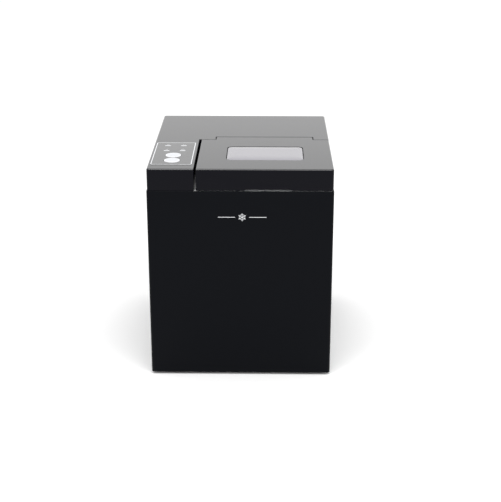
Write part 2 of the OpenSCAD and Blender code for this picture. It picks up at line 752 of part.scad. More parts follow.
module tray_bush() {
    for (x = [tub_x0 - tub_t, tub_x1 - 3]) color([0.9, 0.9, 0.85]) difference() {
        union() {
            rod([x, tray_y, tray_z], tub_t + 3, bush_r, "x");
            rod([x == tub_x0 - tub_t ? tub_x0 : tub_x1 - 2, tray_y, tray_z], 2, bush_r + 3, "x");
        }
        rod([x - 1, tray_y, tray_z], tub_t + 5, shaft_r + 0.05, "x");
    }
}

module ice_shovel() {
    y = tub_y1 - 6;
    w = tub_w - 12;
    color([0.8, 0.84, 0.88]) {
        block([tub_x - w / 2, y, shelf_z + 0.4], [w, shovel_t, shovel_h]);
        block([tub_x - w / 2, y, shelf_z + 0.4], [w, 5, 2]);
        for (x = [tub_x - w / 2, tub_x + w / 2 - 3]) block([x, y - 10, shelf_z + 0.4], [3, 10 + eps, shovel_h]);
    }
}

module float_stem() {
    color([0.9, 0.9, 0.9]) {
        rod([float_x, float_y, tub_z], 4, 6);
        rod([float_x, float_y, tub_z], 44, 1.5);
        rod([float_x, float_y, tub_z + 42], 3, 3.5);
    }
}

module water_float() {
    color([0.95, 0.6, 0.2]) difference() {
        rod([float_x, float_y, tub_z + 4.3], 18, 9);
        rod([float_x, float_y, tub_z], 40, 1.6);
    }
}

module drain_spout() {
    x0 = tub_x1 + tub_t;
    color([0.9, 0.9, 0.92]) difference() {
        rod([x0, drain_y, drain_z], in_x - 1 - x0, drain_r - 1, "x");
        rod([x0 - 1, drain_y, drain_z], in_x - x0 + 2, drain_bore, "x");
    }
}

module drain_plug() {
    color([0.25, 0.25, 0.27]) {
        rod([tub_x1 + tub_t + 1, drain_y, drain_z], in_x - tub_x1 - tub_t - 1, drain_bore - 0.05, "x");
        rod([in_x - 0.7, drain_y, drain_z], wall + 0.3, drain_r, "x");
        block([in_x, drain_y - 1.2, drain_z - drain_r + 2], [wall, 2.4, 2 * drain_r - 4]);
    }
}

module water_pump() {
    color([0.2, 0.2, 0.22]) {
        block([hose_x - 17, hose_y - 17, pan_top], [34, 34, 40]);
        rod([hose_x, hose_y, pan_top + 39], 16, 13);
        rod([hose_x, hose_y, pan_top + 54], 6, 5);
        rod([hose_x + 12, pump_y, pump_z], tub_x0 - tub_t - fit - hose_x - 12, 4, "x");
    }
}

module supply_hose() {
    color([0.88, 0.9, 0.92])
        pipe([[hose_x, hose_y, pan_top + 60], [hose_x, hose_y, hose_z], [tray_x0 + 10, hose_y, hose_z]], hose_r);
}

module bulkhead() {
    w = 2 * (in_x - ledge_w);
    color([0.55, 0.56, 0.58]) difference() {
        block([-w / 2, bay_y0, pan_top], [w, bay_y1 - bay_y0, tub_top - pan_top]);
        for (x = riser_x) {
            rod([x, bay_y0 - 1, line_z], 4, line_r + fit, "y");
        }
        for (k = [0 : 2]) rod([hose_x, bay_y0 - 1, tub_z + 130 + 30 * k], 4, 8, "y");
    }
}

module compressor() {
    r = 22;
    color([0.1, 0.1, 0.11]) {
        translate([comp_x, comp_y, comp_z]) rotate_extrude() {
            square([comp_r - r, compressor_h]);
            translate([0, r]) square([comp_r, compressor_h - 2 * r]);
            for (z = [r, compressor_h - r]) translate([comp_r - r, z]) circle(r);
        }
        block([comp_x - comp_r + 4, comp_y - comp_r + 8, comp_z - 3], [2 * comp_r - 8, 2 * comp_r - 16, 3 + eps]);
    }
}

module compressor_mounts() {
    for (sx = [-1, 1], sy = [-1, 1]) color([0.05, 0.05, 0.05])
        rod([comp_x + sx * (comp_r - 16), comp_y + sy * (comp_r - 20), pan_top], comp_z - 3 - pan_top, 9);
}

module terminal_cover() {
    color([0.15, 0.15, 0.16])
        block([comp_x - 18, comp_y - comp_r - 16, comp_z + 50], [36, 16 - fit, 44]);
}

module condenser_fins() {
    pitch = 6;
    count = floor((2 * tube_half - 2) / pitch);
    start = cond_y - (count - 1) * pitch / 2;
    color([0.78, 0.79, 0.8]) {
        for (i = [0 : count - 1]) difference() {
            ends = i == 0 || i == count - 1;
            foot = ends ? cond_z - cond_half - pan_top : 0;
            block([cond_x, start + i * pitch - 0.4, cond_z - cond_half - foot], [cond_t, 0.8, 2 * cond_half + foot]);
            for (k = [0 : 5])
                rod([tube_x, start + i * pitch - 1, tube_z0 + k * tube_pitch], 2, tube_r + 0.1, "y");
        }
    }
}

module condenser_tube() {
    color([0.72, 0.45, 0.3]) {
        for (k = [0 : 5]) rod([tube_x, tube_end, tube_z0 + k * tube_pitch], 2 * tube_half, tube_r, "y");
        for (k = [0 : 4])
            translate([tube_x, k % 2 == 0 ? cond_y + tube_half : tube_end, tube_z0 + (k + 0.5) * tube_pitch])
                rotate([0, -90, 0]) rotate([0, 0, k % 2 == 0 ? 0 : 180])
                    rotate_extrude(angle = 180) translate([tube_pitch / 2, 0]) circle(tube_r);
        pipe([[tube_x, tube_end, tube_z0], [tube_x, feed_y, tube_z0], [drier_x0, feed_y, tube_z0]], line_r);
    }
}

module fan_shroud() {
    arm_x = shroud_x + duct_len - 4;
    hole_r = fan_r + fan_gap;
    color([0.14, 0.14, 0.15]) {
        difference() {
            union() {
                block([shroud_x, cond_y - cond_half, pan_top], [2, 2 * cond_half, cond_z + cond_half - pan_top]);
                rod([shroud_x + 1, cond_y, cond_z], duct_len - 1, hole_r + 2, "x");
            }
            rod([shroud_x - 1, cond_y, cond_z], duct_len + 2, hole_r, "x");
            rod([shroud_x - 1, feed_y, tube_z0], 4, line_r + fit, "x");
        }
        // Three arms and a plate that carry the motor
        difference() {
            union() {
                for (i = [0 : 2]) translate([arm_x, cond_y, cond_z]) rotate([30 + i * 120, 0, 0])
                    block([0, -4, 0], [3, 8, hole_r + 1]);
                rod([arm_x - 0.5, cond_y, cond_z], 3.5, fan_motor_r, "x");
            }
            rod([arm_x - 1, cond_y, cond_z], 5, 5, "x");
        }
    }
}

module fan_motor() {
    x = shroud_x + duct_len - 1;
    color([0.55, 0.56, 0.58]) difference() {
        rod([x, cond_y, cond_z], 28, fan_motor_r, "x");
        rod([x - 1, cond_y, cond_z], 20, 3.05, "x");
    }
}

module condenser_fan() {
    color([0.2, 0.2, 0.22]) {
        rod([fan_x - fan_t / 2, cond_y, cond_z], fan_t, 15, "x");
        rod([fan_x, cond_y, cond_z], 30, 3, "x");
        for (i = [0 : blade_count - 1]) translate([fan_x, cond_y, cond_z]) rotate([i * 360 / blade_count, 0, 0])
            intersection() {
                translate([0, 0, 12]) rotate([0, 0, 28]) translate([-0.8, -18, 0]) cube([1.6, 36, fan_r]);
                rod([-20, 0, 0], 40, fan_r, "x");
                block([-fan_t / 2, -fan_r, 0], [fan_t, 2 * fan_r, fan_r]);
            }
    }
}

module filter_drier() {
    color([0.72, 0.5, 0.35]) rod([drier_x0 + 4, feed_y, tube_z0], drier_x1 - drier_x0 - 8, 8, "x");
    color([0.72, 0.5, 0.35]) rod([drier_x0, feed_y, tube_z0], drier_x1 - drier_x0, 4, "x");
}

module discharge_line() {
    top_z = tube_z0 + 5 * tube_pitch;
    x = comp_x - 18;
    color([0.72, 0.45, 0.3]) {
        pipe([[x, comp_y, comp_top], [x, comp_y, gas_z], [x, gas_y, gas_z], [valve_x[1], gas_y, gas_z]], line_r);
        pipe([[valve_x[0], gas_y, gas_z], [tube_x, gas_y, gas_z], [tube_x, feed_y, gas_z], [tube_x, feed_y, top_z],
              [tube_x, tube_end, top_z]], line_r);
    }
}

module suction_line() {
    x = comp_x + 12;
    y = gas_y + 4;
    color([0.72, 0.45, 0.3]) {
        pipe([[x, comp_y - 8, comp_top], [x, comp_y - 8, line_z], [x, y, line_z], [riser_x[1], y, line_z],
              [riser_x[1], line_end, line_z]], line_r);
        pipe([[drier_x1, feed_y, tube_z0], [riser_x[0], feed_y, tube_z0], [riser_x[0], feed_y, line_z],
              [riser_x[0], line_end, line_z]], line_r);
    }
}

module hot_gas_valve() {
    mid = (valve_x[0] + valve_x[1]) / 2;
    color([0.75, 0.6, 0.3]) rod([valve_x[0], gas_y, gas_z], valve_x[1] - valve_x[0], 7, "x");
    color([0.75, 0.6, 0.3]) block([mid - 10, gas_y - 10, gas_z + 5], [20, 20, 24]);
}

module power_board() {
    y0 = power_ys[0] - 8;
    y1 = power_ys[1] + 8;
    z_low = power_zs[0] - 8;
    z_high = power_zs[1] + 8;
    color([0.12, 0.35, 0.2]) {
        block([power_x, y0, z_low], [power_t, y1 - y0, z_high - z_low]);
        block([power_x + power_t - eps, y0 + 12, z_low + 12], [20, 34, 30]);
        for (i = [0 : 2]) block([power_x + power_t - eps, y0 + 58 + i * 18, z_low + 60], [15, 13, 20]);
        rod([power_x + power_t - eps, y0 + 80, z_low + 25], 18, 8, "x");
    }
}

module power_inlet() {
    color([0.06, 0.06, 0.06]) {
        rod([inlet_x, panel_in - 12, inlet_z], panel_out + 1.5 - panel_in + 12, inlet_r, "y");
        rod([inlet_x, panel_in - 3, inlet_z], 3, inlet_r + 4, "y");
    }
}

base_pan();
rubber_feet();
body_shell();
rear_panel();
top_cover();
casing_screws();
rear_screws();
lid_shell();
lid_liner();
lid_window();
lid_gasket();
hinge_pins();
control_fascia();
indicator_lenses();
power_button();
select_button();
control_board();
bin_tub();
tub_insulation();
bin_collar();
ice_shelf();
ice_basket();
ice_sensors();
evaporator();
evaporator_bracket();
water_tray();
tray_motor();
tray_bush();
ice_shovel();
float_stem();
water_float();
drain_spout();
drain_plug();
water_pump();
supply_hose();
bulkhead();
compressor();
compressor_mounts();
terminal_cover();
condenser_fins();
condenser_tube();
fan_shroud();
fan_motor();
condenser_fan();
filter_drier();
discharge_line();
suction_line();
hot_gas_valve();
power_board();
power_inlet();
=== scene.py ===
"""Looks of a countertop ice maker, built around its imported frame.

Every visible moulding is a surface worked out from a plan outline and an edge profile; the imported
pieces that already have the right shape get their finishes here. All lengths are metres.
"""

import logging
import math
from dataclasses import dataclass, field
from enum import Enum

import bmesh
import bpy
import numpy as np
from mathutils import Matrix, Vector

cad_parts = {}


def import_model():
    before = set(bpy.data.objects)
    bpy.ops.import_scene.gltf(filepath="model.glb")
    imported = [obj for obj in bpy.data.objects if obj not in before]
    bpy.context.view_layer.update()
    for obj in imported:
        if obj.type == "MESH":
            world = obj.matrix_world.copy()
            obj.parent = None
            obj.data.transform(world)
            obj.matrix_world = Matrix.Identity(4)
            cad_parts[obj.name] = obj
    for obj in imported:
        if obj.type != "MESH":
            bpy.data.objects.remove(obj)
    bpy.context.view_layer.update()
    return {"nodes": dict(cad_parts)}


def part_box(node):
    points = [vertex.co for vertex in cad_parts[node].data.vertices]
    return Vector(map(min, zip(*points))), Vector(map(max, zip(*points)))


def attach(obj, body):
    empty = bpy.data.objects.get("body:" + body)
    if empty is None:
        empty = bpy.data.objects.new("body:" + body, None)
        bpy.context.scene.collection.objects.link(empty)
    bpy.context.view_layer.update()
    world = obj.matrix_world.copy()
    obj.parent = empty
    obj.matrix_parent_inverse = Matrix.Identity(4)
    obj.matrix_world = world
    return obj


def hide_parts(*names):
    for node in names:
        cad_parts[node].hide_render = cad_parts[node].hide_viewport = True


LOG = logging.getLogger("ice_maker")
MM = 0.001


# ---------------------------------------------------------------- outlines and meshes


@dataclass(frozen=True)
class Plan:
    """A closed outline with round corners, given by its corners anticlockwise and a radius for each."""

    corners: tuple
    radii: tuple
    steps: int = 8
    edges: tuple = ()

    def ring(self, inset: float = 0.0) -> np.ndarray:
        """Work out the outline moved inwards.

        Each corner is where its two edges meet once each edge has moved inwards by the inset times
        its own factor. An arc that touches both edges then rounds it; its radius shrinks with the
        inset at an outward corner and grows at an inward one.

        Args:
            inset: how far the outline moves inwards.

        Returns:
            The points of the outline, anticlockwise, one row each.
        """
        pts = np.array(self.corners, float)
        before = pts - np.roll(pts, 1, axis=0)
        after = np.roll(pts, -1, axis=0) - pts
        before /= np.linalg.norm(before, axis=1)[:, None]
        after /= np.linalg.norm(after, axis=1)[:, None]
        n0 = np.stack([-before[:, 1], before[:, 0]], 1)
        n1 = np.stack([-after[:, 1], after[:, 0]], 1)
        factor = np.array(self.edges or (1,) * len(pts), float)
        d0, d1 = inset * np.roll(factor, 1), inset * factor
        turn = before[:, 0] * after[:, 1] - before[:, 1] * after[:, 0]
        facing = np.sum(before * after, axis=1)
        moved = pts + (n0 * (d0 - facing * d1)[:, None] + n1 * (d1 - facing * d0)[:, None]) / (1 - facing**2)[:, None]
        sign = np.sign(turn)
        live = np.maximum(np.array(self.radii, float) - sign * (d0 + d1) / 2, 1e-5)
        bisector = (n0 + n1) / (1 + facing)[:, None]
        centres = moved + bisector * (sign * live)[:, None]
        start = np.arctan2(-n0[:, 1] * sign, -n0[:, 0] * sign)
        sweep = np.arctan2(turn, facing)
        angles = start[:, None] + sweep[:, None] * np.linspace(0, 1, self.steps + 1)[None, :]
        x = centres[:, 0, None] + live[:, None] * np.cos(angles)
        y = centres[:, 1, None] + live[:, None] * np.sin(angles)
        return np.stack([x.ravel(), y.ravel()], 1)


def rectangle(x0: float, x1: float, y0: float, y1: float, radius: float, steps: int = 8) -> Plan:
    """Return the plan of a rectangle with four equal round corners."""
    return Plan(((x0, y0), (x1, y0), (x1, y1), (x0, y1)), (radius,) * 4, steps)


def quarter(radius: float, steps: int = 5, start: float = 0.0) -> list:
    """Return (inset, drop) pairs along a quarter round, from the side wall up to the flat top."""
    angles = np.linspace(start, math.pi / 2, steps + 1)
    return [(radius * (1 - math.cos(a)), radius * (1 - math.sin(a))) for a in angles]


def new_object(name: str, verts: np.ndarray, faces: list) -> bpy.types.Object:
    """Make a mesh object at the origin from vertices and faces, and link it to the scene."""
    mesh = bpy.data.meshes.new(name)
    mesh.from_pydata(np.asarray(verts, float).tolist(), [], faces)
    mesh.update()
    obj = bpy.data.objects.new(name, mesh)
    bpy.context.scene.collection.objects.link(obj)
    return obj


def grid_faces(rows: int, columns: int, wrap: bool, start: int = 0) -> list:
    """Return the quads of a grid whose rows follow each other, closed round when wrap is true."""
    row = np.arange(rows - 1)[:, None] * columns
    col = np.arange(columns if wrap else columns - 1)[None, :]
    nxt = (col + 1) % columns
    quads = np.stack([row + col, row + nxt, row + columns + nxt, row + columns + col], -1)
    return (quads.reshape(-1, 4) + start).tolist()


def smooth(obj: bpy.types.Object, angle: float = 32.0) -> bpy.types.Object:
    """Shade an object smoothly, keeping edges sharper than the angle, in degrees."""
    mesh = obj.data
    mesh.polygons.foreach_set("use_smooth", [True] * len(mesh.polygons))
    mesh.set_sharp_from_angle(angle=math.radians(angle))
    return obj


def loft(name: str, plan: Plan, profile: list, holes: tuple = (), closed: bool = True) -> bpy.types.Object:
    """Carry an outline through a list of insets and heights, and close its two ends.

    The surface is ring(inset_k) at height z_k for every pair k of the profile, joined in order.

    Args:
        name: the object's name.
        plan: the outline.
        profile: (inset, z) pairs from the lower end to the upper end.
        holes: plans of straight holes, cut through the whole piece.
        closed: whether the two ends are filled.

    Returns:
        The new object, smooth, with its normals outwards.
    """
    rings = [np.column_stack([plan.ring(i), np.full(len(plan.corners) * (plan.steps + 1), z)]) for i, z in profile]
    verts = np.concatenate(rings)
    n = len(rings[0])
    faces = grid_faces(len(rings), n, True)
    if closed:
        faces.append(list(range(n - 1, -1, -1)))
        faces.append(list(range(len(verts) - n, len(verts))))
    obj = new_object(name, verts, faces)
    clean(obj)
    if holes:
        z = [p[1] for p in profile]
        cutters = [loft("cutter", h, [(0, min(z) - 0.002), (0, max(z) + 0.002)]) for h in holes]
        cut(obj, *cutters)
    return smooth(obj)


def clean(obj: bpy.types.Object) -> None:
    """Merge doubled points and turn the faces outwards."""
    bm = bmesh.new()
    bm.from_mesh(obj.data)
    bmesh.ops.remove_doubles(bm, verts=bm.verts, dist=1e-6)
    bmesh.ops.dissolve_degenerate(bm, dist=1e-7, edges=bm.edges)
    bmesh.ops.recalc_face_normals(bm, faces=bm.faces)
    bm.to_mesh(obj.data)
    bm.free()


def join_points(name: str, objs: list) -> bpy.types.Object:
    """Join several objects into one mesh under a name, and drop the originals."""
    bm = bmesh.new()
    for o in objs:
        bm.from_mesh(o.data)
    mesh = bpy.data.meshes.new(name)
    bm.to_mesh(mesh)
    bm.free()
    for o in objs:
        bpy.data.objects.remove(o)
    obj = bpy.data.objects.new(name, mesh)
    bpy.context.scene.collection.objects.link(obj)
    return smooth(obj)


def boolean(obj: bpy.types.Object, operation: str, tools: tuple) -> None:
    """Apply one exact boolean of the tools, joined, to an object, and drop the tools."""
    tool = join_points("tool", list(tools))
    mod = obj.modifiers.new("cut", "BOOLEAN")
    mod.operation = operation
    mod.object = tool
    mod.solver = "EXACT"
    graph = bpy.context.evaluated_depsgraph_get()
    mesh = bpy.data.meshes.new_from_object(obj.evaluated_get(graph))
    obj.modifiers.clear()
    obj.data = mesh
    bpy.data.objects.remove(tool)
    clean(obj)
    smooth(obj)


def cut(obj: bpy.types.Object, *tools: bpy.types.Object) -> None:
    """Cut the tools out of an object."""
    boolean(obj, "DIFFERENCE", tools)


def fuse(obj: bpy.types.Object, *tools: bpy.types.Object) -> None:
    """Join the tools to an object as one solid."""
    boolean(obj, "UNION", tools)


def block(x0: float, x1: float, y0: float, y1: float, z0: float, z1: float) -> bpy.types.Object:
    """Return a plain box, used only as a cutting tool."""
    return loft("cutter", rectangle(x0, x1, y0, y1, 1e-5, 1), [(0, z0), (0, z1)])


def revolve(name: str, profile: list, centre: tuple, axis: str = "Z", steps: int = 64) -> bpy.types.Object:
    """Turn a profile of (radius, height) pairs about an axis through a centre.

    A point at angle t is (radius cos t, radius sin t, height) before the axis is laid along X, Y or Z.
    """
    pairs = np.array(profile, float)
    t = np.linspace(0, 2 * math.pi, steps, endpoint=False)
    r, h = pairs[:, 0][:, None], pairs[:, 1][:, None]
    a, b, c = r * np.cos(t), r * np.sin(t), h + 0 * t
    order = {"X": (c, a, b), "Y": (b, c, a), "Z": (a, b, c)}[axis]
    verts = np.stack(order, -1).reshape(-1, 3) + np.array(centre)
    faces = grid_faces(len(pairs), steps, True)
    faces.append(list(range(steps)))
    faces.append(list(range(len(verts) - steps, len(verts))))
    obj = new_object(name, verts, faces)
    clean(obj)
    return smooth(obj)


def ribbon(name: str, path: np.ndarray, width: float, z0: float, z1: float, plane: str = "XY") -> bpy.types.Object:
    """Lay a flat printed line of even width along an open path, as a thin closed strip.

    Each point gives a left and a right point half a width away, square to the path.
    """
    d = np.gradient(path, axis=0)
    d /= np.linalg.norm(d, axis=1)[:, None]
    side = np.stack([-d[:, 1], d[:, 0]], 1) * width / 2
    flat = np.concatenate([path + side, (path - side)[::-1]])
    n = len(flat)
    low = np.column_stack([flat, np.full(n, z0)])
    high = np.column_stack([flat, np.full(n, z1)])
    verts = np.concatenate([low, high])
    faces = grid_faces(2, n, True) + [list(range(n))[::-1], list(range(n, 2 * n))]
    if plane == "XZ":
        verts = verts[:, [0, 2, 1]]
    obj = new_object(name, verts, faces)
    clean(obj)
    return obj


# ---------------------------------------------------------------- finishes


class Pattern(Enum):
    """Which surface pattern a finish carries."""

    MOULDED = "moulded"
    BRUSHED = "brushed"
    ENAMEL = "enamel"
    CLOUDED = "clouded"
    FOAM = "foam"


def socket(tree: bpy.types.NodeTree, name: str, kind: str, way: str, value=None) -> None:
    """Add a named socket to a node group, with a default value where one is given."""
    item = tree.interface.new_socket(name=name, in_out=way, socket_type=kind)
    if value is not None:
        item.default_value = value


def surface_group() -> bpy.types.NodeTree:
    """Build the node group for even mottling: a colour and a roughness that drift over the surface.

    Broad noise shifts the colour a little, fine noise shifts the roughness, and both read Object
    coordinates in metres.

    Returns:
        The group, with Color, Drift, Roughness and Spread in and Color, Roughness and Height out.
    """
    tree = bpy.data.node_groups.new("surface_drift", "ShaderNodeTree")
    socket(tree, "Color", "NodeSocketColor", "INPUT", (0.5, 0.5, 0.5, 1))
    socket(tree, "Drift", "NodeSocketFloat", "INPUT", 0.05)
    socket(tree, "Roughness", "NodeSocketFloat", "INPUT", 0.3)
    socket(tree, "Spread", "NodeSocketFloat", "INPUT", 0.03)
    socket(tree, "Grain", "NodeSocketFloat", "INPUT", 900.0)
    socket(tree, "Stretch", "NodeSocketVector", "INPUT", (1, 1, 1))
    socket(tree, "Color", "NodeSocketColor", "OUTPUT")
    socket(tree, "Roughness", "NodeSocketFloat", "OUTPUT")
    socket(tree, "Height", "NodeSocketFloat", "OUTPUT")
    n, links = tree.nodes, tree.links
    gin, gout = n.new("NodeGroupInput"), n.new("NodeGroupOutput")
    place, scale = n.new("ShaderNodeTexCoord"), n.new("ShaderNodeVectorMath")
    scale.operation = "MULTIPLY"
    broad, fine = n.new("ShaderNodeTexNoise"), n.new("ShaderNodeTexNoise")
    broad.inputs["Scale"].default_value = 14
    broad.inputs["Detail"].default_value = 3
    fine.inputs["Detail"].default_value = 2
    links.new(place.outputs["Object"], scale.inputs[0])
    links.new(gin.outputs["Stretch"], scale.inputs[1])
    links.new(place.outputs["Object"], broad.inputs["Vector"])
    links.new(scale.outputs[0], fine.inputs["Vector"])
    links.new(gin.outputs["Grain"], fine.inputs["Scale"])
    shade = n.new("ShaderNodeMath")
    shade.operation = "MULTIPLY_ADD"
    centred = n.new("ShaderNodeMath")
    centred.operation = "SUBTRACT"
    centred.inputs[1].default_value = 0.5
    links.new(broad.outputs["Fac"], centred.inputs[0])
    links.new(centred.outputs[0], shade.inputs[0])
    links.new(gin.outputs["Drift"], shade.inputs[1])
    shade.inputs[2].default_value = 1
    tint = n.new("ShaderNodeVectorMath")
    tint.operation = "SCALE"
    links.new(gin.outputs["Color"], tint.inputs[0])
    links.new(shade.outputs[0], tint.inputs["Scale"])
    links.new(tint.outputs[0], gout.inputs["Color"])
    grain, rough = n.new("ShaderNodeMath"), n.new("ShaderNodeMath")
    grain.operation, rough.operation = "SUBTRACT", "MULTIPLY_ADD"
    grain.inputs[1].default_value = 0.5
    links.new(fine.outputs["Fac"], grain.inputs[0])
    links.new(grain.outputs[0], rough.inputs[0])
    links.new(gin.outputs["Spread"], rough.inputs[1])
    links.new(gin.outputs["Roughness"], rough.inputs[2])
    links.new(rough.outputs[0], gout.inputs["Roughness"])
    links.new(fine.outputs["Fac"], gout.inputs["Height"])
    return tree


def painted_top_sheen_group() -> bpy.types.NodeTree:
    """Build the node group that marks faces that look up, for a painted sheen: the top of a moulding gets a stronger
    coat than its sides, so it reflects more as if lit more.

    The mask is the object-space normal's Z between a low and a high limit, so it belongs to the
    surface and not to the view.
    """
    tree = bpy.data.node_groups.new("painted_top_sheen", "ShaderNodeTree")
    socket(tree, "Side", "NodeSocketFloat", "INPUT", 0.0)
    socket(tree, "Top", "NodeSocketFloat", "INPUT", 1.0)
    socket(tree, "Weight", "NodeSocketFloat", "OUTPUT")
    n, links = tree.nodes, tree.links
    gin, gout = n.new("NodeGroupInput"), n.new("NodeGroupOutput")
    place, split, ramp = n.new("ShaderNodeTexCoord"), n.new("ShaderNodeSeparateXYZ"), n.new("ShaderNodeMapRange")
    links.new(place.outputs["Normal"], split.inputs[0])
    links.new(split.outputs["Z"], ramp.inputs["Value"])
    ramp.inputs["From Min"].default_value = 0.15
    ramp.inputs["From Max"].default_value = 0.6
    links.new(gin.outputs["Side"], ramp.inputs["To Min"])
    links.new(gin.outputs["Top"], ramp.inputs["To Max"])
    links.new(ramp.outputs[0], gout.inputs["Weight"])
    return tree


@dataclass(frozen=True)
class Finish:
    """One finish: a plastic, metal or rubber with its own colour, gloss and fine texture.

    Attributes are linear colours and plain shader values; texture depths are metres.
    """

    name: str
    colour: tuple
    roughness: float = 0.35
    pattern: Pattern = Pattern.MOULDED
    metallic: float = 0.0
    specular: float = 0.5
    coat: float = 0.0
    coat_ior: float = 1.5
    coat_roughness: float = 0.04
    # painted sheen: the coat weight on faces that look up, so the tops reflect more than the sides
    painted_sheen_coat: float = 0.0
    transmission: float = 0.0
    alpha: float = 1.0
    drift: float = 0.12
    spread: float = 0.06
    grain: float = 900.0
    depth: float = 0.00001
    stretch: tuple = (1, 1, 1)
    glow: float = 0.0

    def build(self) -> bpy.types.Material:
        """Build the material's nodes and return it; a finish is built once."""
        mat = bpy.data.materials.get(self.name)
        if mat:
            return mat
        mat = bpy.data.materials.new(self.name)
        mat.use_nodes = True
        n, links = mat.node_tree.nodes, mat.node_tree.links
        bsdf = n["Principled BSDF"]
        drift = n.new("ShaderNodeGroup")
        drift.node_tree = bpy.data.node_groups.get("surface_drift") or surface_group()
        drift.inputs["Color"].default_value = (*self.colour, 1)
        drift.inputs["Drift"].default_value = self.drift
        drift.inputs["Roughness"].default_value = self.roughness
        drift.inputs["Spread"].default_value = self.spread
        drift.inputs["Grain"].default_value = self.grain
        drift.inputs["Stretch"].default_value = self.stretch
        links.new(drift.outputs["Color"], bsdf.inputs["Base Color"])
        links.new(drift.outputs["Roughness"], bsdf.inputs["Roughness"])
        bump = n.new("ShaderNodeBump")
        bump.inputs["Strength"].default_value = 0.35
        bump.inputs["Distance"].default_value = self.depth
        links.new(self.height(mat, drift), bump.inputs["Height"])
        links.new(bump.outputs["Normal"], bsdf.inputs["Normal"])
        bsdf.inputs["Metallic"].default_value = self.metallic
        bsdf.inputs["Specular IOR Level"].default_value = self.specular
        bsdf.inputs["Coat IOR"].default_value = self.coat_ior
        bsdf.inputs["Coat Roughness"].default_value = self.coat_roughness
        bsdf.inputs["Coat Weight"].default_value = self.coat
        bsdf.inputs["Transmission Weight"].default_value = self.transmission
        bsdf.inputs["Alpha"].default_value = self.alpha
        # Painted sheen: the coat weight ramps from the side value to the top value with the object-space normal's Z, so
        # upward faces reflect more.
        if self.painted_sheen_coat:
            painted_sheen_node = n.new("ShaderNodeGroup")
            painted_sheen_node.node_tree = bpy.data.node_groups.get("painted_top_sheen") or painted_top_sheen_group()
            painted_sheen_node.inputs["Side"].default_value = self.coat
            painted_sheen_node.inputs["Top"].default_value = self.painted_sheen_coat
            links.new(painted_sheen_node.outputs["Weight"], bsdf.inputs["Coat Weight"])
        if self.glow:
            bsdf.inputs["Emission Color"].default_value = (*self.colour, 1)
            bsdf.inputs["Emission Strength"].default_value = self.glow
        return mat

    def height(self, mat: bpy.types.Material, drift: bpy.types.Node) -> bpy.types.NodeSocket:
        """Return the socket that carries this finish's fine relief."""
        if self.pattern in (Pattern.MOULDED, Pattern.BRUSHED, Pattern.ENAMEL):
            return drift.outputs["Height"]
        cells = mat.node_tree.nodes.new("ShaderNodeTexVoronoi")
        place = mat.node_tree.nodes.new("ShaderNodeTexCoord")
        cells.inputs["Scale"].default_value = self.grain / 3
        mat.node_tree.links.new(place.outputs["Object"], cells.inputs["Vector"])
        return cells.outputs["Distance"]


CASING = Finish("casing_gloss_black", (0.0012, 0.0017, 0.0032), 0.3, specular=0.07, coat=0.0, grain=600)
# The cover and the fascia film carry a painted sheen: a stronger coat on faces that look up than on their sides, which
# keep the low base specular.
COVER = Finish("cover_gloss_black", (0.0022, 0.0022, 0.0045), 0.16, specular=0.09, coat=0.0,
               coat_ior=1.66, coat_roughness=0.07, painted_sheen_coat=0.84, grain=500, depth=0.000004)
FILM = Finish("fascia_film_black", (0.008, 0.008, 0.01), 0.2, specular=0.2, coat=0.2, coat_ior=1.62,
              coat_roughness=0.06, painted_sheen_coat=0.95, grain=700, depth=0.000003)
INK = Finish("printed_pale_ink", (0.8, 0.81, 0.83), 0.45, specular=0.3, drift=0.03)
SILVER = Finish("button_silver", (0.42, 0.42, 0.45), 0.32, specular=0.5, coat=0.4, grain=1500)
RING = Finish("button_pale_ring", (0.8, 0.8, 0.83), 0.25, coat=0.5)
LAMP = Finish("lamp_frosted", (0.72, 0.73, 0.76), 0.4, drift=0.04, glow=0.08)
LENS = Finish("window_frosted", (0.3, 0.29, 0.32), 0.2, coat=1.0, coat_ior=1.5, coat_roughness=0.08, alpha=0.9,
              grain=400, depth=0.000006)
WHITE = Finish("liner_white", (0.74, 0.75, 0.77), 0.42, grain=700, drift=0.05)
CLEAR = Finish("basket_clear_blue", (0.62, 0.72, 0.8), 0.22, coat=0.6, alpha=0.72, drift=0.05)
TRAY = Finish("tray_milky", (0.72, 0.78, 0.84), 0.28, coat=0.4, alpha=0.85, drift=0.05)
FOAM = Finish("insulation_foam", (0.78, 0.74, 0.62), 0.85, Pattern.FOAM, grain=1500, depth=0.0003, specular=0.2)
RUBBER = Finish("rubber_black", (0.02, 0.02, 0.021), 0.7, specular=0.3, depth=0.00002, grain=1400)
GASKET = Finish("gasket_grey", (0.42, 0.42, 0.44), 0.6, specular=0.3)
PAN = Finish("pan_powder_coat", (0.025, 0.025, 0.027), 0.55, Pattern.CLOUDED, specular=0.35, grain=4000, depth=0.00003)
STEEL = Finish("plated_steel", (0.55, 0.56, 0.58), 0.3, Pattern.BRUSHED, metallic=1.0, grain=300, stretch=(1, 1, 9))
COPPER = Finish("drawn_copper", (0.78, 0.42, 0.27), 0.28, Pattern.BRUSHED, metallic=1.0, drift=0.3, grain=300)
NICKEL = Finish("nickel_plate", (0.66, 0.64, 0.6), 0.22, Pattern.BRUSHED, metallic=1.0, grain=300)
FINS = Finish("fin_aluminium", (0.78, 0.79, 0.8), 0.35, Pattern.BRUSHED, metallic=1.0, stretch=(1, 8, 1))
ENAMEL = Finish("compressor_enamel", (0.015, 0.015, 0.017), 0.3, Pattern.ENAMEL, coat=0.6, grain=260, depth=0.00004)
DARK = Finish("moulded_dark", (0.035, 0.035, 0.038), 0.5, specular=0.4, depth=0.00003)
BOARD = Finish("circuit_board", (0.02, 0.12, 0.05), 0.4, Pattern.CLOUDED, grain=1500, depth=0.00002, drift=0.4)
ORANGE = Finish("float_orange", (0.75, 0.3, 0.05), 0.6, Pattern.FOAM, grain=1800, depth=0.0001)
HOSE = Finish("hose_silicone", (0.68, 0.72, 0.74), 0.3, alpha=0.85)

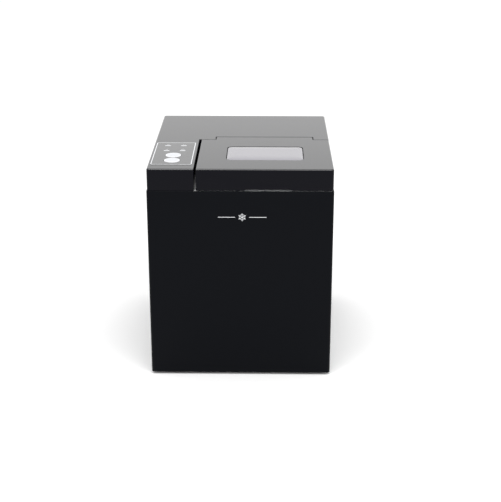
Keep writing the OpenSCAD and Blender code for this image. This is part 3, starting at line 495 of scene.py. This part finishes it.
NODE_FINISH = {
    "base_pan": PAN, "rear_panel": CASING, "casing_screws": STEEL, "lid_liner": WHITE, "lid_gasket": GASKET,
    "hinge_pins": STEEL, "indicator_lenses": LAMP, "control_board": BOARD, "bin_tub": WHITE,
    "tub_insulation": FOAM, "bin_collar": WHITE, "ice_shelf": WHITE, "ice_basket": CLEAR, "ice_sensors": DARK,
    "evaporator": NICKEL, "evaporator_bracket": STEEL, "water_tray": TRAY, "tray_motor": DARK, "tray_bush": WHITE,
    "ice_shovel": TRAY, "float_stem": WHITE, "water_float": ORANGE, "drain_spout": WHITE, "water_pump": DARK,
    "supply_hose": HOSE, "bulkhead": STEEL, "compressor": ENAMEL, "compressor_mounts": RUBBER,
    "terminal_cover": DARK, "condenser_fins": FINS, "condenser_tube": COPPER, "fan_shroud": DARK,
    "fan_motor": STEEL, "condenser_fan": DARK, "filter_drier": COPPER, "discharge_line": COPPER,
    "suction_line": COPPER, "hot_gas_valve": COPPER, "power_board": BOARD, }


def dress(obj: bpy.types.Object, finish: Finish) -> bpy.types.Object:
    """Give an object one finish in every slot."""
    mat = finish.build()
    if obj.data.materials:
        for i in range(len(obj.data.materials)):
            obj.data.materials[i] = mat
    else:
        obj.data.materials.append(mat)
    return obj


def place(obj: bpy.types.Object, body: str, slot: str, finish: Finish, *nodes: str) -> bpy.types.Object:
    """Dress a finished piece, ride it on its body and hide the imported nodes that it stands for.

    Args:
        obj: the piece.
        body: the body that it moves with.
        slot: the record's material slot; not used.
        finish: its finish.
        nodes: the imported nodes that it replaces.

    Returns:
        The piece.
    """
    dress(obj, finish)
    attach(obj, body)
    if nodes:
        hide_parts(*nodes)
    LOG.info("%s rides on %s", obj.name, body)
    return obj


# ---------------------------------------------------------------- the frame's own sizes


@dataclass(frozen=True)
class Box:
    """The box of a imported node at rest."""

    low: tuple
    high: tuple

    @classmethod
    def of(cls, node: str) -> "Box":
        """Read the box of a node from the frame."""
        low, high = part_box(node)
        return cls(tuple(low), tuple(high))

    @property
    def centre(self) -> tuple:
        """The middle of the box."""
        return tuple((a + b) / 2 for a, b in zip(self.low, self.high))

    @property
    def size(self) -> tuple:
        """The three sides of the box."""
        return tuple(b - a for a, b in zip(self.low, self.high))


# ---------------------------------------------------------------- sub-assemblies


@dataclass
class Casing:
    """The lower cabinet: a round-cornered wrap with side grilles, its screws, feet and rear fittings."""

    wall: float = 2.4 * MM
    corner: float = 4.5 * MM
    edge: float = 1.4 * MM
    flange: float = 14 * MM
    slot: float = 4 * MM
    pitch: float = 9 * MM
    shell: Box = field(default_factory=lambda: Box.of("body_shell"))

    def wrap(self) -> bpy.types.Object:
        """Build the wrap: the plan carried up with small rounds at both rims, then opened at the rear."""
        (x0, y0, z0), (x1, y1, z1) = self.shell.low, self.shell.high
        plan = rectangle(x0, x1, y0, y1, self.corner, 10)
        rim = [(i, z1 - self.edge + (self.edge - d)) for i, d in quarter(self.edge)]
        foot = [(0.5 * MM, z0), (0.15 * MM, z0 + 0.15 * MM), (0, z0 + 0.5 * MM)]
        profile = foot + [(0, z1 - self.edge - 0.4 * MM)] + rim + [(self.wall, z1), (self.wall, z0), foot[0]]
        obj = loft("lower_casing", plan, profile, closed=False)
        opening = block(x0 + self.flange, x1 - self.flange, 0, y1 + 0.01, z0 - 0.01, z1 + 0.01)
        cut(obj, opening)
        fan, comp = Box.of("condenser_fan").centre, Box.of("compressor")
        cutters = self.grille(x0, fan[1], 48 * MM, fan[2] - 44 * MM, fan[2] + 44 * MM)
        low = comp.low[2] + 3 * MM
        cutters += self.grille(x1, comp.centre[1], 44 * MM, low + 20 * MM, low + 100 * MM)
        plug = Box.of("drain_plug").centre
        cutters.append(revolve("hole", [(9.5 * MM, -0.01), (9.5 * MM, 0.01)], (x1, plug[1], plug[2]), "X", 48))
        cut(obj, *cutters)
        return place(obj, "cabinet", "casing_black", CASING, "body_shell")

    def grille(self, x: float, y: float, half: float, low: float, high: float) -> list:
        """Return the cutters of one side grille, a row of upright slots with round ends.

        Args:
            x: the side wall.
            y: the middle of the row.
            half: half the row's length.
            low: the slots' lower end.
            high: their upper end.

        Returns:
            One cutter for each slot.
        """
        count = int(2 * half / self.pitch + 1e-6)
        first = y - (count - 1) * self.pitch / 2
        plan = [rectangle(first + i * self.pitch - self.slot / 2, first + i * self.pitch + self.slot / 2,
                          low, high, self.slot * 0.49, 5) for i in range(count)]
        tools = [loft("slot", p, [(0, x - 0.005), (0, x + 0.005)]) for p in plan]
        for tool in tools:
            self.stand(tool)
        return tools

    @staticmethod
    def stand(obj: bpy.types.Object) -> None:
        """Turn a cutter's plan from (x, y, z) to (z, x, y), so that it runs along X."""
        count = len(obj.data.vertices)
        flat = np.empty(3 * count)
        obj.data.vertices.foreach_get("co", flat)
        obj.data.vertices.foreach_set("co", np.roll(flat.reshape(-1, 3), 1, axis=1).ravel())
        obj.data.update()

    def feet(self) -> bpy.types.Object:
        """Build the four moulded rubber feet, each with a round rim and a hollow sole."""
        box = Box.of("rubber_feet")
        top, r = box.high[2], 11 * MM
        profile = [(1 * MM, 1 * MM), (r - 4 * MM, 1 * MM), (r - 3.2 * MM, 0), (r - 1 * MM, 0), (r - 0.3 * MM, 0.3 * MM),
                   (r, 1 * MM), (r, top), (1 * MM, top)]
        centres = [(x, y, 0) for x in (box.low[0] + r, box.high[0] - r) for y in (box.low[1] + r, box.high[1] - r)]
        parts = [revolve("foot", profile, c, "Z", 40) for c in centres]
        return place(join_points("moulded_feet", parts), "cabinet", "rubber_black", RUBBER, "rubber_feet")

    def screws(self) -> bpy.types.Object:
        """Build the rear panel's four pan-head screws, each with a cross recess."""
        box = Box.of("rear_screws")
        r, y = 3.6 * MM, box.high[1]
        dome = [(0.1 * MM, 0), (1.5 * MM, -0.15 * MM), (2.8 * MM, -0.6 * MM), (3.4 * MM, -1.2 * MM), (r, -1.8 * MM),
                (1.5 * MM, -1.8 * MM), (1.5 * MM, -9.9 * MM)]
        parts, slots = [], []
        for x in (box.low[0] + r, box.high[0] - r):
            for z in (box.low[2] + r, box.high[2] - r):
                parts.append(revolve("screw", dome, (x, y, z), "Y", 32))
                for w, h in ((0.35 * MM, 1.9 * MM), (1.9 * MM, 0.35 * MM)):
                    slots.append(block(x - w, x + w, y - 1 * MM, y + 1 * MM, z - h, z + h))
        obj = join_points("rear_panel_screws", parts)
        for tool in slots:
            cut(obj, tool)
        return place(obj, "cabinet", "steel", STEEL, "rear_screws")

    def inlet(self) -> bpy.types.Object:
        """Build the mains inlet: a rubber gland with a stepped nose and an empty bore."""
        box = Box.of("power_inlet")
        c, y0, y1 = box.centre, box.low[1], box.high[1]
        profile = [(4 * MM, y0), (9 * MM, y0), (9 * MM, y1 - 6.9 * MM), (13 * MM, y1 - 6.9 * MM),
                   (13 * MM, y1 - 3.9 * MM), (9 * MM, y1 - 3.9 * MM), (9 * MM, y1 - 0.8 * MM),
                   (8.2 * MM, y1), (5 * MM, y1), (4.2 * MM, y1 - 0.8 * MM),
                   (4 * MM, y1 - 2 * MM), (4 * MM, y0)]
        obj = revolve("inlet_gland", profile, (c[0], 0, c[2]), "Y", 48)
        return place(obj, "cabinet", "rubber_black", RUBBER, "power_inlet")

    def plug(self) -> bpy.types.Object:
        """Build the drain plug: a stem with a sealing rib, a round head and a finger grip."""
        box = Box.of("drain_plug")
        c, x0, x1 = box.centre, box.low[0], box.high[0]
        r, stem = box.size[1] / 2, 4.45 * MM
        head = x1 - 2.7 * MM
        profile = [(0.1 * MM, x0), (stem - 0.6 * MM, x0), (stem, x0 + 1 * MM), (stem, head), (r - 0.4 * MM, head),
                   (r, head + 0.4 * MM), (r, x1 - 1.5 * MM), (r - 0.6 * MM, x1 - 0.9 * MM), (0.1 * MM, x1 - 0.9 * MM)]
        obj = revolve("drain_plug_knob", profile, (0, c[1], c[2]), "X", 56)
        fuse(obj, block(x1 - 1.5 * MM, x1, c[1] - 1.2 * MM, c[1] + 1.2 * MM, c[2] - r + 2 * MM, c[2] + r - 2 * MM))
        return place(obj, "drain_plug", "rubber_black", RUBBER, "drain_plug")

    def emblem(self) -> bpy.types.Object:
        """Print a plain six-armed frost mark between two fine rules on the front.

        Every arm is a straight stroke from the centre with two short strokes at 60 degrees to it.
        """
        (x0, y0, _), (x1, _, z1) = self.shell.low, self.shell.high
        cx, cz, arm, width = (x0 + x1) / 2 + 3 * MM, z1 - 42 * MM, 6.2 * MM, 0.75 * MM
        strokes = []
        for i in range(6):
            a = math.pi / 6 + i * math.pi / 3
            tip = np.array([math.cos(a), math.sin(a)])
            strokes.append(np.array([[0, 0], tip * arm]))
            for side in (-1, 1):
                b = a + side * math.pi / 3
                twig = np.array([math.cos(b), math.sin(b)]) * arm * 0.34
                strokes.append(np.array([tip * arm * 0.55, tip * arm * 0.55 + twig]))
        strokes = [s + np.array([cx, cz]) for s in strokes]
        strokes += [np.array([[cx + s * 11 * MM, cz], [cx + s * 38 * MM, cz]]) for s in (-1, 1)]
        parts = [ribbon("stroke", s, width, y0 - 0.05 * MM, y0, "XZ") for s in strokes]
        return place(join_points("front_mark", parts), "cabinet", "lamp_lens", INK)

    def build(self) -> None:
        """Build every piece of the casing."""
        self.wrap()
        self.feet()
        self.screws()
        self.inlet()
        self.plug()
        self.emblem()


@dataclass
class TopMoulding:
    """The shared sizes of the two top mouldings: the cover and the lid."""

    wall: float = 2.4 * MM
    corner: float = 4.5 * MM
    edge: float = 2.4 * MM
    foot: float = 0.9 * MM
    gap: float = 0.8 * MM
    console_gap: float = 3.4 * MM
    liner_margin: float = 3.4 * MM

    def shell(self, name: str, plan: Plan, low: float, high: float, holes: tuple = ()) -> bpy.types.Object:
        """Build a moulding that is open below.

        The profile runs down the inner wall, under the rim, up the outer wall and over a quarter round.

        Args:
            name: the piece's name.
            plan: its outline.
            low: height of its lower rim.
            high: height of its flat top.
            holes: outlines of the holes through its top.

        Returns:
            The moulding.
        """
        ceiling = high - self.wall
        f, e = self.foot, self.edge
        under = [(self.wall, ceiling), (self.wall, low), (f, low), (0.3 * f, low + 0.3 * f), (0, low + f)]
        over = [(i, high - d) for i, d in quarter(e, 6)]
        profile = under + [(0, high - e - 0.4 * MM)] + over + [(e + 0.5 * MM, high)]
        return loft(name, plan, profile, holes)


@dataclass
class Cover(TopMoulding):
    """The fixed part of the top: the control console and the deck over the cooling plant."""

    button_hole: float = 13 * MM

    def build(self) -> bpy.types.Object:
        """Build the L-shaped cover with the notch for the lid's tongue."""
        box, lid, pins = Box.of("top_cover"), Box.of("lid_shell"), Box.of("hinge_pins")
        liner = Box.of("lid_liner")
        x0, y0, z0 = box.low
        x1, y1, z1 = box.high
        left = lid.low[0] - self.console_gap
        seam = liner.high[1] + self.liner_margin + self.gap
        notch = lid.high[1] + self.gap
        n0, n1 = pins.low[0] + 6 * MM, pins.high[0] - 6 * MM
        corners = ((x0, y0), (left, y0), (left, seam), (n0, seam), (n0, notch), (n1, notch), (n1, seam), (x1, seam),
                   (x1, y1), (x0, y1))
        small = 1 * MM
        radii = (self.corner, small, small, small, small, small, small, small, self.corner, self.corner)
        fine = 0.35
        plan = Plan(corners, radii, 8, (1, fine, fine, fine, fine, fine, fine, 1, 1, 1))
        holes = [rectangle(c[0] - r, c[0] + r, c[1] - r, c[1] + r, r * 0.999, 14)
                 for c, r in ((Box.of(n).centre, self.button_hole) for n in ("power_button", "select_button"))]
        obj = self.shell("top_cover_moulding", plan, z0, z1, tuple(holes))
        hinge_z = pins.centre[2]
        floor = block(n0 - self.wall, n1 + self.wall, seam, notch + self.wall, hinge_z - 15.4 * MM, hinge_z - 13 * MM)
        ears = [block(a, b, seam + 0.3 * MM, notch + 0.5 * MM, hinge_z - 9 * MM, z1 - 1.2 * MM)
                for a, b in ((n0 - 7 * MM, n0), (n1, n1 + 7 * MM))]
        fuse(obj, floor)
        fuse(obj, *ears)
        return place(obj, "cabinet", "cover_black", COVER, "top_cover")


@dataclass
class Lid(TopMoulding):
    """The hinged lid: its outer moulding, window and window seal."""

    opening: float = 0.8 * MM
    window_corner: float = 8 * MM
    slope_depth: float = 19 * MM
    slope_side: float = 0.6
    sweep: float = 8.6 * MM
    barrel: float = 5.5 * MM
    notch_middle: float = 43.5 * MM
    notch_half: float = 39 * MM

    def outline(self, box: Box) -> Plan:
        """Return the lid's outline, with the tongue at its rear."""
        pins, liner = Box.of("hinge_pins"), Box.of("lid_liner")
        x0, y0, _ = box.low
        x1, y1, _ = box.high
        rear = liner.high[1] + self.liner_margin
        t0, t1 = pins.low[0] + 6.8 * MM, pins.high[0] - 6.8 * MM
        corners = ((x0, y0), (x1, y0), (x1, rear), (t1, rear), (t1, y1), (t0, y1), (t0, rear), (x0, rear))
        small = 1 * MM
        radii = (small, self.corner, small, small, small, small, small, small)
        fine = 0.35
        return Plan(corners, radii, 8, (1, 1, fine, fine, 0.6, fine, fine, 0.6))

    def window_plan(self, grow: float, sides: float = 1.0) -> Plan:
        """Return the window's outline, grown by a distance, with a factor for its two short sides."""
        lens = Box.of("lid_window")
        (x0, y0, _), (x1, y1, _) = lens.low, lens.high
        flange = 4 * MM - grow
        r = self.window_corner + grow
        corners = ((x0 + flange, y0 + flange), (x1 - flange, y0 + flange),
                   (x1 - flange, y1 - flange), (x0 + flange, y1 - flange))
        return Plan(corners, (r,) * 4, 12, (1, sides, 1, sides))

    def moulding(self) -> bpy.types.Object:
        """Build the outer moulding, trimmed where its rear and left walls stop at the liner."""
        box, pins, liner = Box.of("lid_shell"), Box.of("hinge_pins"), Box.of("lid_liner")
        plan = self.outline(box)
        (x0, y0, z0), (x1, y1, z1) = box.low, box.high
        obj = self.shell("lid_moulding", plan, z0, z1, (self.window_plan(self.opening),))
        rear, hinge, stop = liner.high[1] + self.liner_margin, pins.centre, liner.low[2]
        edge = 3 * self.wall
        cut(obj, block(x0 - 0.01, x0 + edge, y0 + self.wall, y1 + 0.01, z0 - 0.01, stop))
        cut(obj, block(x0 - 0.01, x1 - self.wall, rear - edge, y1 + 0.01, z0 - 0.01, stop))
        cut(obj, block(x0 - 0.01, x1 + 0.01, rear, y1 + 0.01, z0 - 0.01, hinge[2]))
        t0, t1 = pins.low[0] + 6.8 * MM, pins.high[0] - 6.8 * MM
        for a, b in ((x0 - 0.01, t0), (t1, x1 + 0.01)):
            cut(obj, revolve("sweep", [(self.sweep, a), (self.sweep, b)], (0, hinge[1], hinge[2]), "X", 64))
        r = self.barrel
        barrel = revolve("barrel", [(2.05 * MM, t0), (r - 0.4 * MM, t0), (r, t0 + 0.4 * MM), (r, t1 - 0.4 * MM),
                                    (r - 0.4 * MM, t1), (2.05 * MM, t1), (2.05 * MM, t0)],
                         (0, hinge[1], hinge[2]), "X", 40)
        fuse(obj, barrel)
        self.notch(obj, box)
        return place(obj, "lid", "cover_black", COVER, "lid_shell")

    def notch(self, obj: bpy.types.Object, box: Box) -> None:
        """Cut the shallow finger notch with sloping ends out of the front apron's lower rim."""
        mid, half, slope, tall = self.notch_middle, self.notch_half, 5 * MM, 2 * MM
        y, z = box.low[1], box.low[2]
        xs = np.array([-half - slope, half + slope, half - slope, -half + slope]) + mid
        zs = np.array([-tall, -tall, tall, tall]) + z
        near = np.column_stack([xs, np.full(4, y - 1 * MM), zs])
        far = np.column_stack([xs, np.full(4, y + self.wall + 1 * MM), zs])
        tool = new_object("notch", np.concatenate([near, far]), grid_faces(2, 4, True) + [[3, 2, 1, 0], [4, 5, 6, 7]])
        clean(tool)
        cut(obj, tool)

    def window(self) -> None:
        """Build the pillow-shaped window and the dark seal round it.

        The window's edge rises as a quarter ellipse: inset a(1 - cos t), height h sin t.
        """
        lens = Box.of("lid_window")
        low, crown, top = lens.low[2], lens.high[2], Box.of("lid_shell").high[2]
        rise = crown - top + 1.3 * MM
        t = np.linspace(0, math.pi / 2, 12)
        slope = [(self.slope_depth * (1 - math.cos(v)), crown - rise + rise * math.sin(v)) for v in t]
        profile = [(1 * MM, low), (0, low + 0.3 * MM)] + slope + [(self.slope_depth + 1 * MM, crown)]
        pane = loft("window_pane", self.window_plan(0, self.slope_side), profile)
        place(pane, "lid", "window_smoke", LENS, "lid_window")
        seal_plan = self.window_plan(4 * MM)
        seal = loft("window_seal", seal_plan, [(0, low), (0, low + 1.5 * MM), (0.3 * MM, low + 1.6 * MM)],
                    (self.window_plan(0.05 * MM),))
        place(seal, "lid", "rubber_black", RUBBER)

    def build(self) -> None:
        """Build every piece of the lid."""
        self.moulding()
        self.window()


@dataclass
class Console:
    """The control panel: a printed film with its border and marks, and two round buttons."""

    line: float = 1.15 * MM
    ring: float = 2.1 * MM
    dish: float = 0.5 * MM

    def film(self) -> None:
        """Build the film, pierced for the buttons and lamps, and the pale border printed on it."""
        box = Box.of("control_fascia")
        (x0, y0, z0), (x1, y1, z1) = box.low, box.high
        holes = [rectangle(c[0] - r, c[0] + r, c[1] - r, c[1] + r, r * 0.999, 16)
                 for c, r in ((Box.of(n).centre, 13 * MM) for n in ("power_button", "select_button"))]
        for cx, cy in self.lamps():
            holes.append(rectangle(cx - 4.6 * MM, cx + 4.6 * MM, cy - 1.6 * MM, cy + 1.6 * MM, 0.3 * MM, 3))
        rise = [(0, z0), (0, z1 - 0.1 * MM), (0.1 * MM, z1)]
        film = loft("fascia_film", rectangle(x0, x1, y0, y1, 3 * MM), rise, tuple(holes))
        place(film, "cabinet", "fascia_black", FILM, "control_fascia")
        inner = rectangle(x0 + self.line + 0.5 * MM, x1 - self.line - 0.5 * MM, y0 + self.line + 0.5 * MM,
                          y1 - self.line - 0.5 * MM, 2 * MM)
        border = loft("fascia_border", rectangle(x0 + 0.5 * MM, x1 - 0.5 * MM, y0 + 0.5 * MM, y1 - 0.5 * MM, 2.6 * MM),
                      [(0, z1 - 0.05 * MM), (0, z1 + 0.06 * MM)], (inner,))
        place(border, "cabinet", "lamp_lens", INK)

    def lamps(self) -> list:
        """Return the middles of the four lamps, in plan."""
        box = Box.of("indicator_lenses")
        xs = (box.low[0] + 4.5 * MM, box.high[0] - 4.5 * MM)
        ys = (box.low[1] + 1.5 * MM, box.high[1] - 1.5 * MM)
        return [(x, y) for y in ys for x in xs]

    def marks(self) -> None:
        """Print a plain mark behind each lamp: a large and a small cube, a drop and a full bin."""
        z = Box.of("control_fascia").high[2]
        t = np.linspace(0, 2 * math.pi, 17)
        square = np.array([[-1, -1], [1, -1], [1, 1], [-1, 1], [-1, -1]])
        drop = np.column_stack([1.5 * MM * np.sin(t), -1.7 * MM * np.cos(t) * (1 - 0.25 * np.cos(t))])
        tub = np.array([[-2, 1.6], [-1.4, -1.4], [1.4, -1.4], [2, 1.6]]) * MM
        shapes = [square * 1.2 * MM, square * 1.9 * MM, drop, tub]
        parts = []
        for (cx, cy), shape in zip(self.lamps(), shapes):
            for a, b in zip(shape[:-1], shape[1:]):
                path = np.array([a, b]) + np.array([cx, cy + 7 * MM])
                parts.append(ribbon("mark", path, 0.45 * MM, z - 0.04 * MM, z + 0.05 * MM))
        place(join_points("fascia_marks", parts), "cabinet", "lamp_lens", INK)

    def button(self, node: str) -> None:
        """Build a button: a dished silver cap with a stem, and a pale ring pressed round it.

        The dish falls from its rim to its middle as depth times (1 - (r / R) squared).
        """
        box = Box.of(node)
        c, low, high, outer = box.centre, box.low[2], box.high[2], 12.5 * MM
        r = outer - self.ring
        radii = np.linspace(r, 0.2 * MM, 8)
        dish = [(v, high - 0.25 * MM - self.dish * (1 - (v / r) ** 2)) for v in radii]
        under = high - 5.6 * MM
        profile = [(4 * MM, low), (4 * MM, under), (13.8 * MM, under), (13.8 * MM, under + 2 * MM),
                   (outer, under + 2 * MM),
                   (outer, high - 1.5 * MM), (r, high - 1.5 * MM)] + dish
        place(revolve(node + "_cap", profile, (c[0], c[1], 0), "Z", 72), node, "button_silver", SILVER, node)
        base = high - 1.45 * MM
        hoop = [(r + 0.05 * MM, base), (outer, base), (outer, high - 0.5 * MM), (outer - 0.2 * MM, high - 0.15 * MM),
                (outer - 0.6 * MM, high), (r + 0.4 * MM, high), (r + 0.1 * MM, high - 0.15 * MM), (r + 0.05 * MM, base)]
        place(revolve(node + "_ring", hoop, (c[0], c[1], 0), "Z", 72), node, "button_silver", RING)

    def build(self) -> None:
        """Build every piece of the console."""
        self.film()
        self.marks()
        for node in ("power_button", "select_button"):
            self.button(node)


@dataclass
class Carried:
    """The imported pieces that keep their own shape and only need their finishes."""

    finishes: dict = field(default_factory=lambda: NODE_FINISH)

    def build(self, nodes: dict) -> None:
        """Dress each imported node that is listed."""
        for name, finish in self.finishes.items():
            dress(nodes[name], finish)
            LOG.info("%s is finished as %s", name, finish.name)


@dataclass
class Studio:
    """Camera, soft lights and a plain pale floor."""

    lens: float = 83.57
    camera: tuple = (0.0412, -1.8907, 0.8627)
    aim: tuple = (-0.01367, 0.93599, -0.35177)
    floor_colour: tuple = (1.0, 1.0, 1.0)

    def shoot(self) -> None:
        """Set the camera at the viewing angle."""
        data = bpy.data.cameras.new("camera")
        data.lens = self.lens
        data.sensor_width = 36
        data.clip_end = 100
        cam = bpy.data.objects.new("camera", data)
        bpy.context.scene.collection.objects.link(cam)
        turn = Vector(self.aim).to_track_quat("-Z", "Y")
        cam.matrix_world = Matrix.Translation(self.camera) @ turn.to_matrix().to_4x4()
        bpy.context.scene.camera = cam

    def lamp(self, name: str, at: tuple, size: tuple, watts: float) -> None:
        """Hang a rectangular soft light that faces the object's middle."""
        data = bpy.data.lights.new(name, "AREA")
        data.shape = "RECTANGLE"
        data.size, data.size_y = size
        data.energy = watts
        obj = bpy.data.objects.new(name, data)
        bpy.context.scene.collection.objects.link(obj)
        turn = (Vector((0, 0, 0.2)) - Vector(at)).to_track_quat("-Z", "Y")
        obj.matrix_world = Matrix.Translation(at) @ turn.to_matrix().to_4x4()

    def ground(self) -> None:
        """Lay the floor: white to the eye and in gloss, but still shaded where the object stands."""
        n = np.linspace(-30, 30, 9)
        x, y = np.meshgrid(n, n)
        verts = np.stack([x.ravel(), y.ravel(), np.zeros(x.size)], 1)
        floor = new_object("floor", verts, grid_faces(9, 9, False))
        mat = bpy.data.materials.new("pale_floor")
        mat.use_nodes = True
        bsdf = mat.node_tree.nodes["Principled BSDF"]
        bsdf.inputs["Base Color"].default_value = (*self.floor_colour, 1)
        bsdf.inputs["Roughness"].default_value = 0.9
        bsdf.inputs["Specular IOR Level"].default_value = 0.0
        floor.data.materials.append(mat)

    def sky(self) -> None:
        """Fill the room with an even white, so that a colour renders about as written."""
        world = bpy.data.worlds.new("studio")
        bpy.context.scene.world = world
        world.use_nodes = True
        n = world.node_tree.nodes
        n["Background"].inputs["Color"].default_value = (1, 1, 1, 1)
        n["Background"].inputs["Strength"].default_value = 1.0

    def build(self) -> None:
        """Set up the whole studio."""
        self.shoot()
        self.ground()
        self.sky()
        self.lamp("overhead_front", (0.0, -0.9, 2.25), (1.6, 0.6), 24)
        self.lamp("side_right", (2.0, -0.9, 1.3), (0.8, 1.2), 4)
        bpy.context.scene.view_settings.view_transform = "Standard"


def main() -> None:
    """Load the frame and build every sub-assembly around it."""
    logging.basicConfig(level=logging.INFO, format="%(message)s")
    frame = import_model()
    Studio().build()
    Carried().build(frame["nodes"])
    Casing().build()
    Cover().build()
    Lid().build()
    Console().build()


if __name__ == "__main__":
    main()
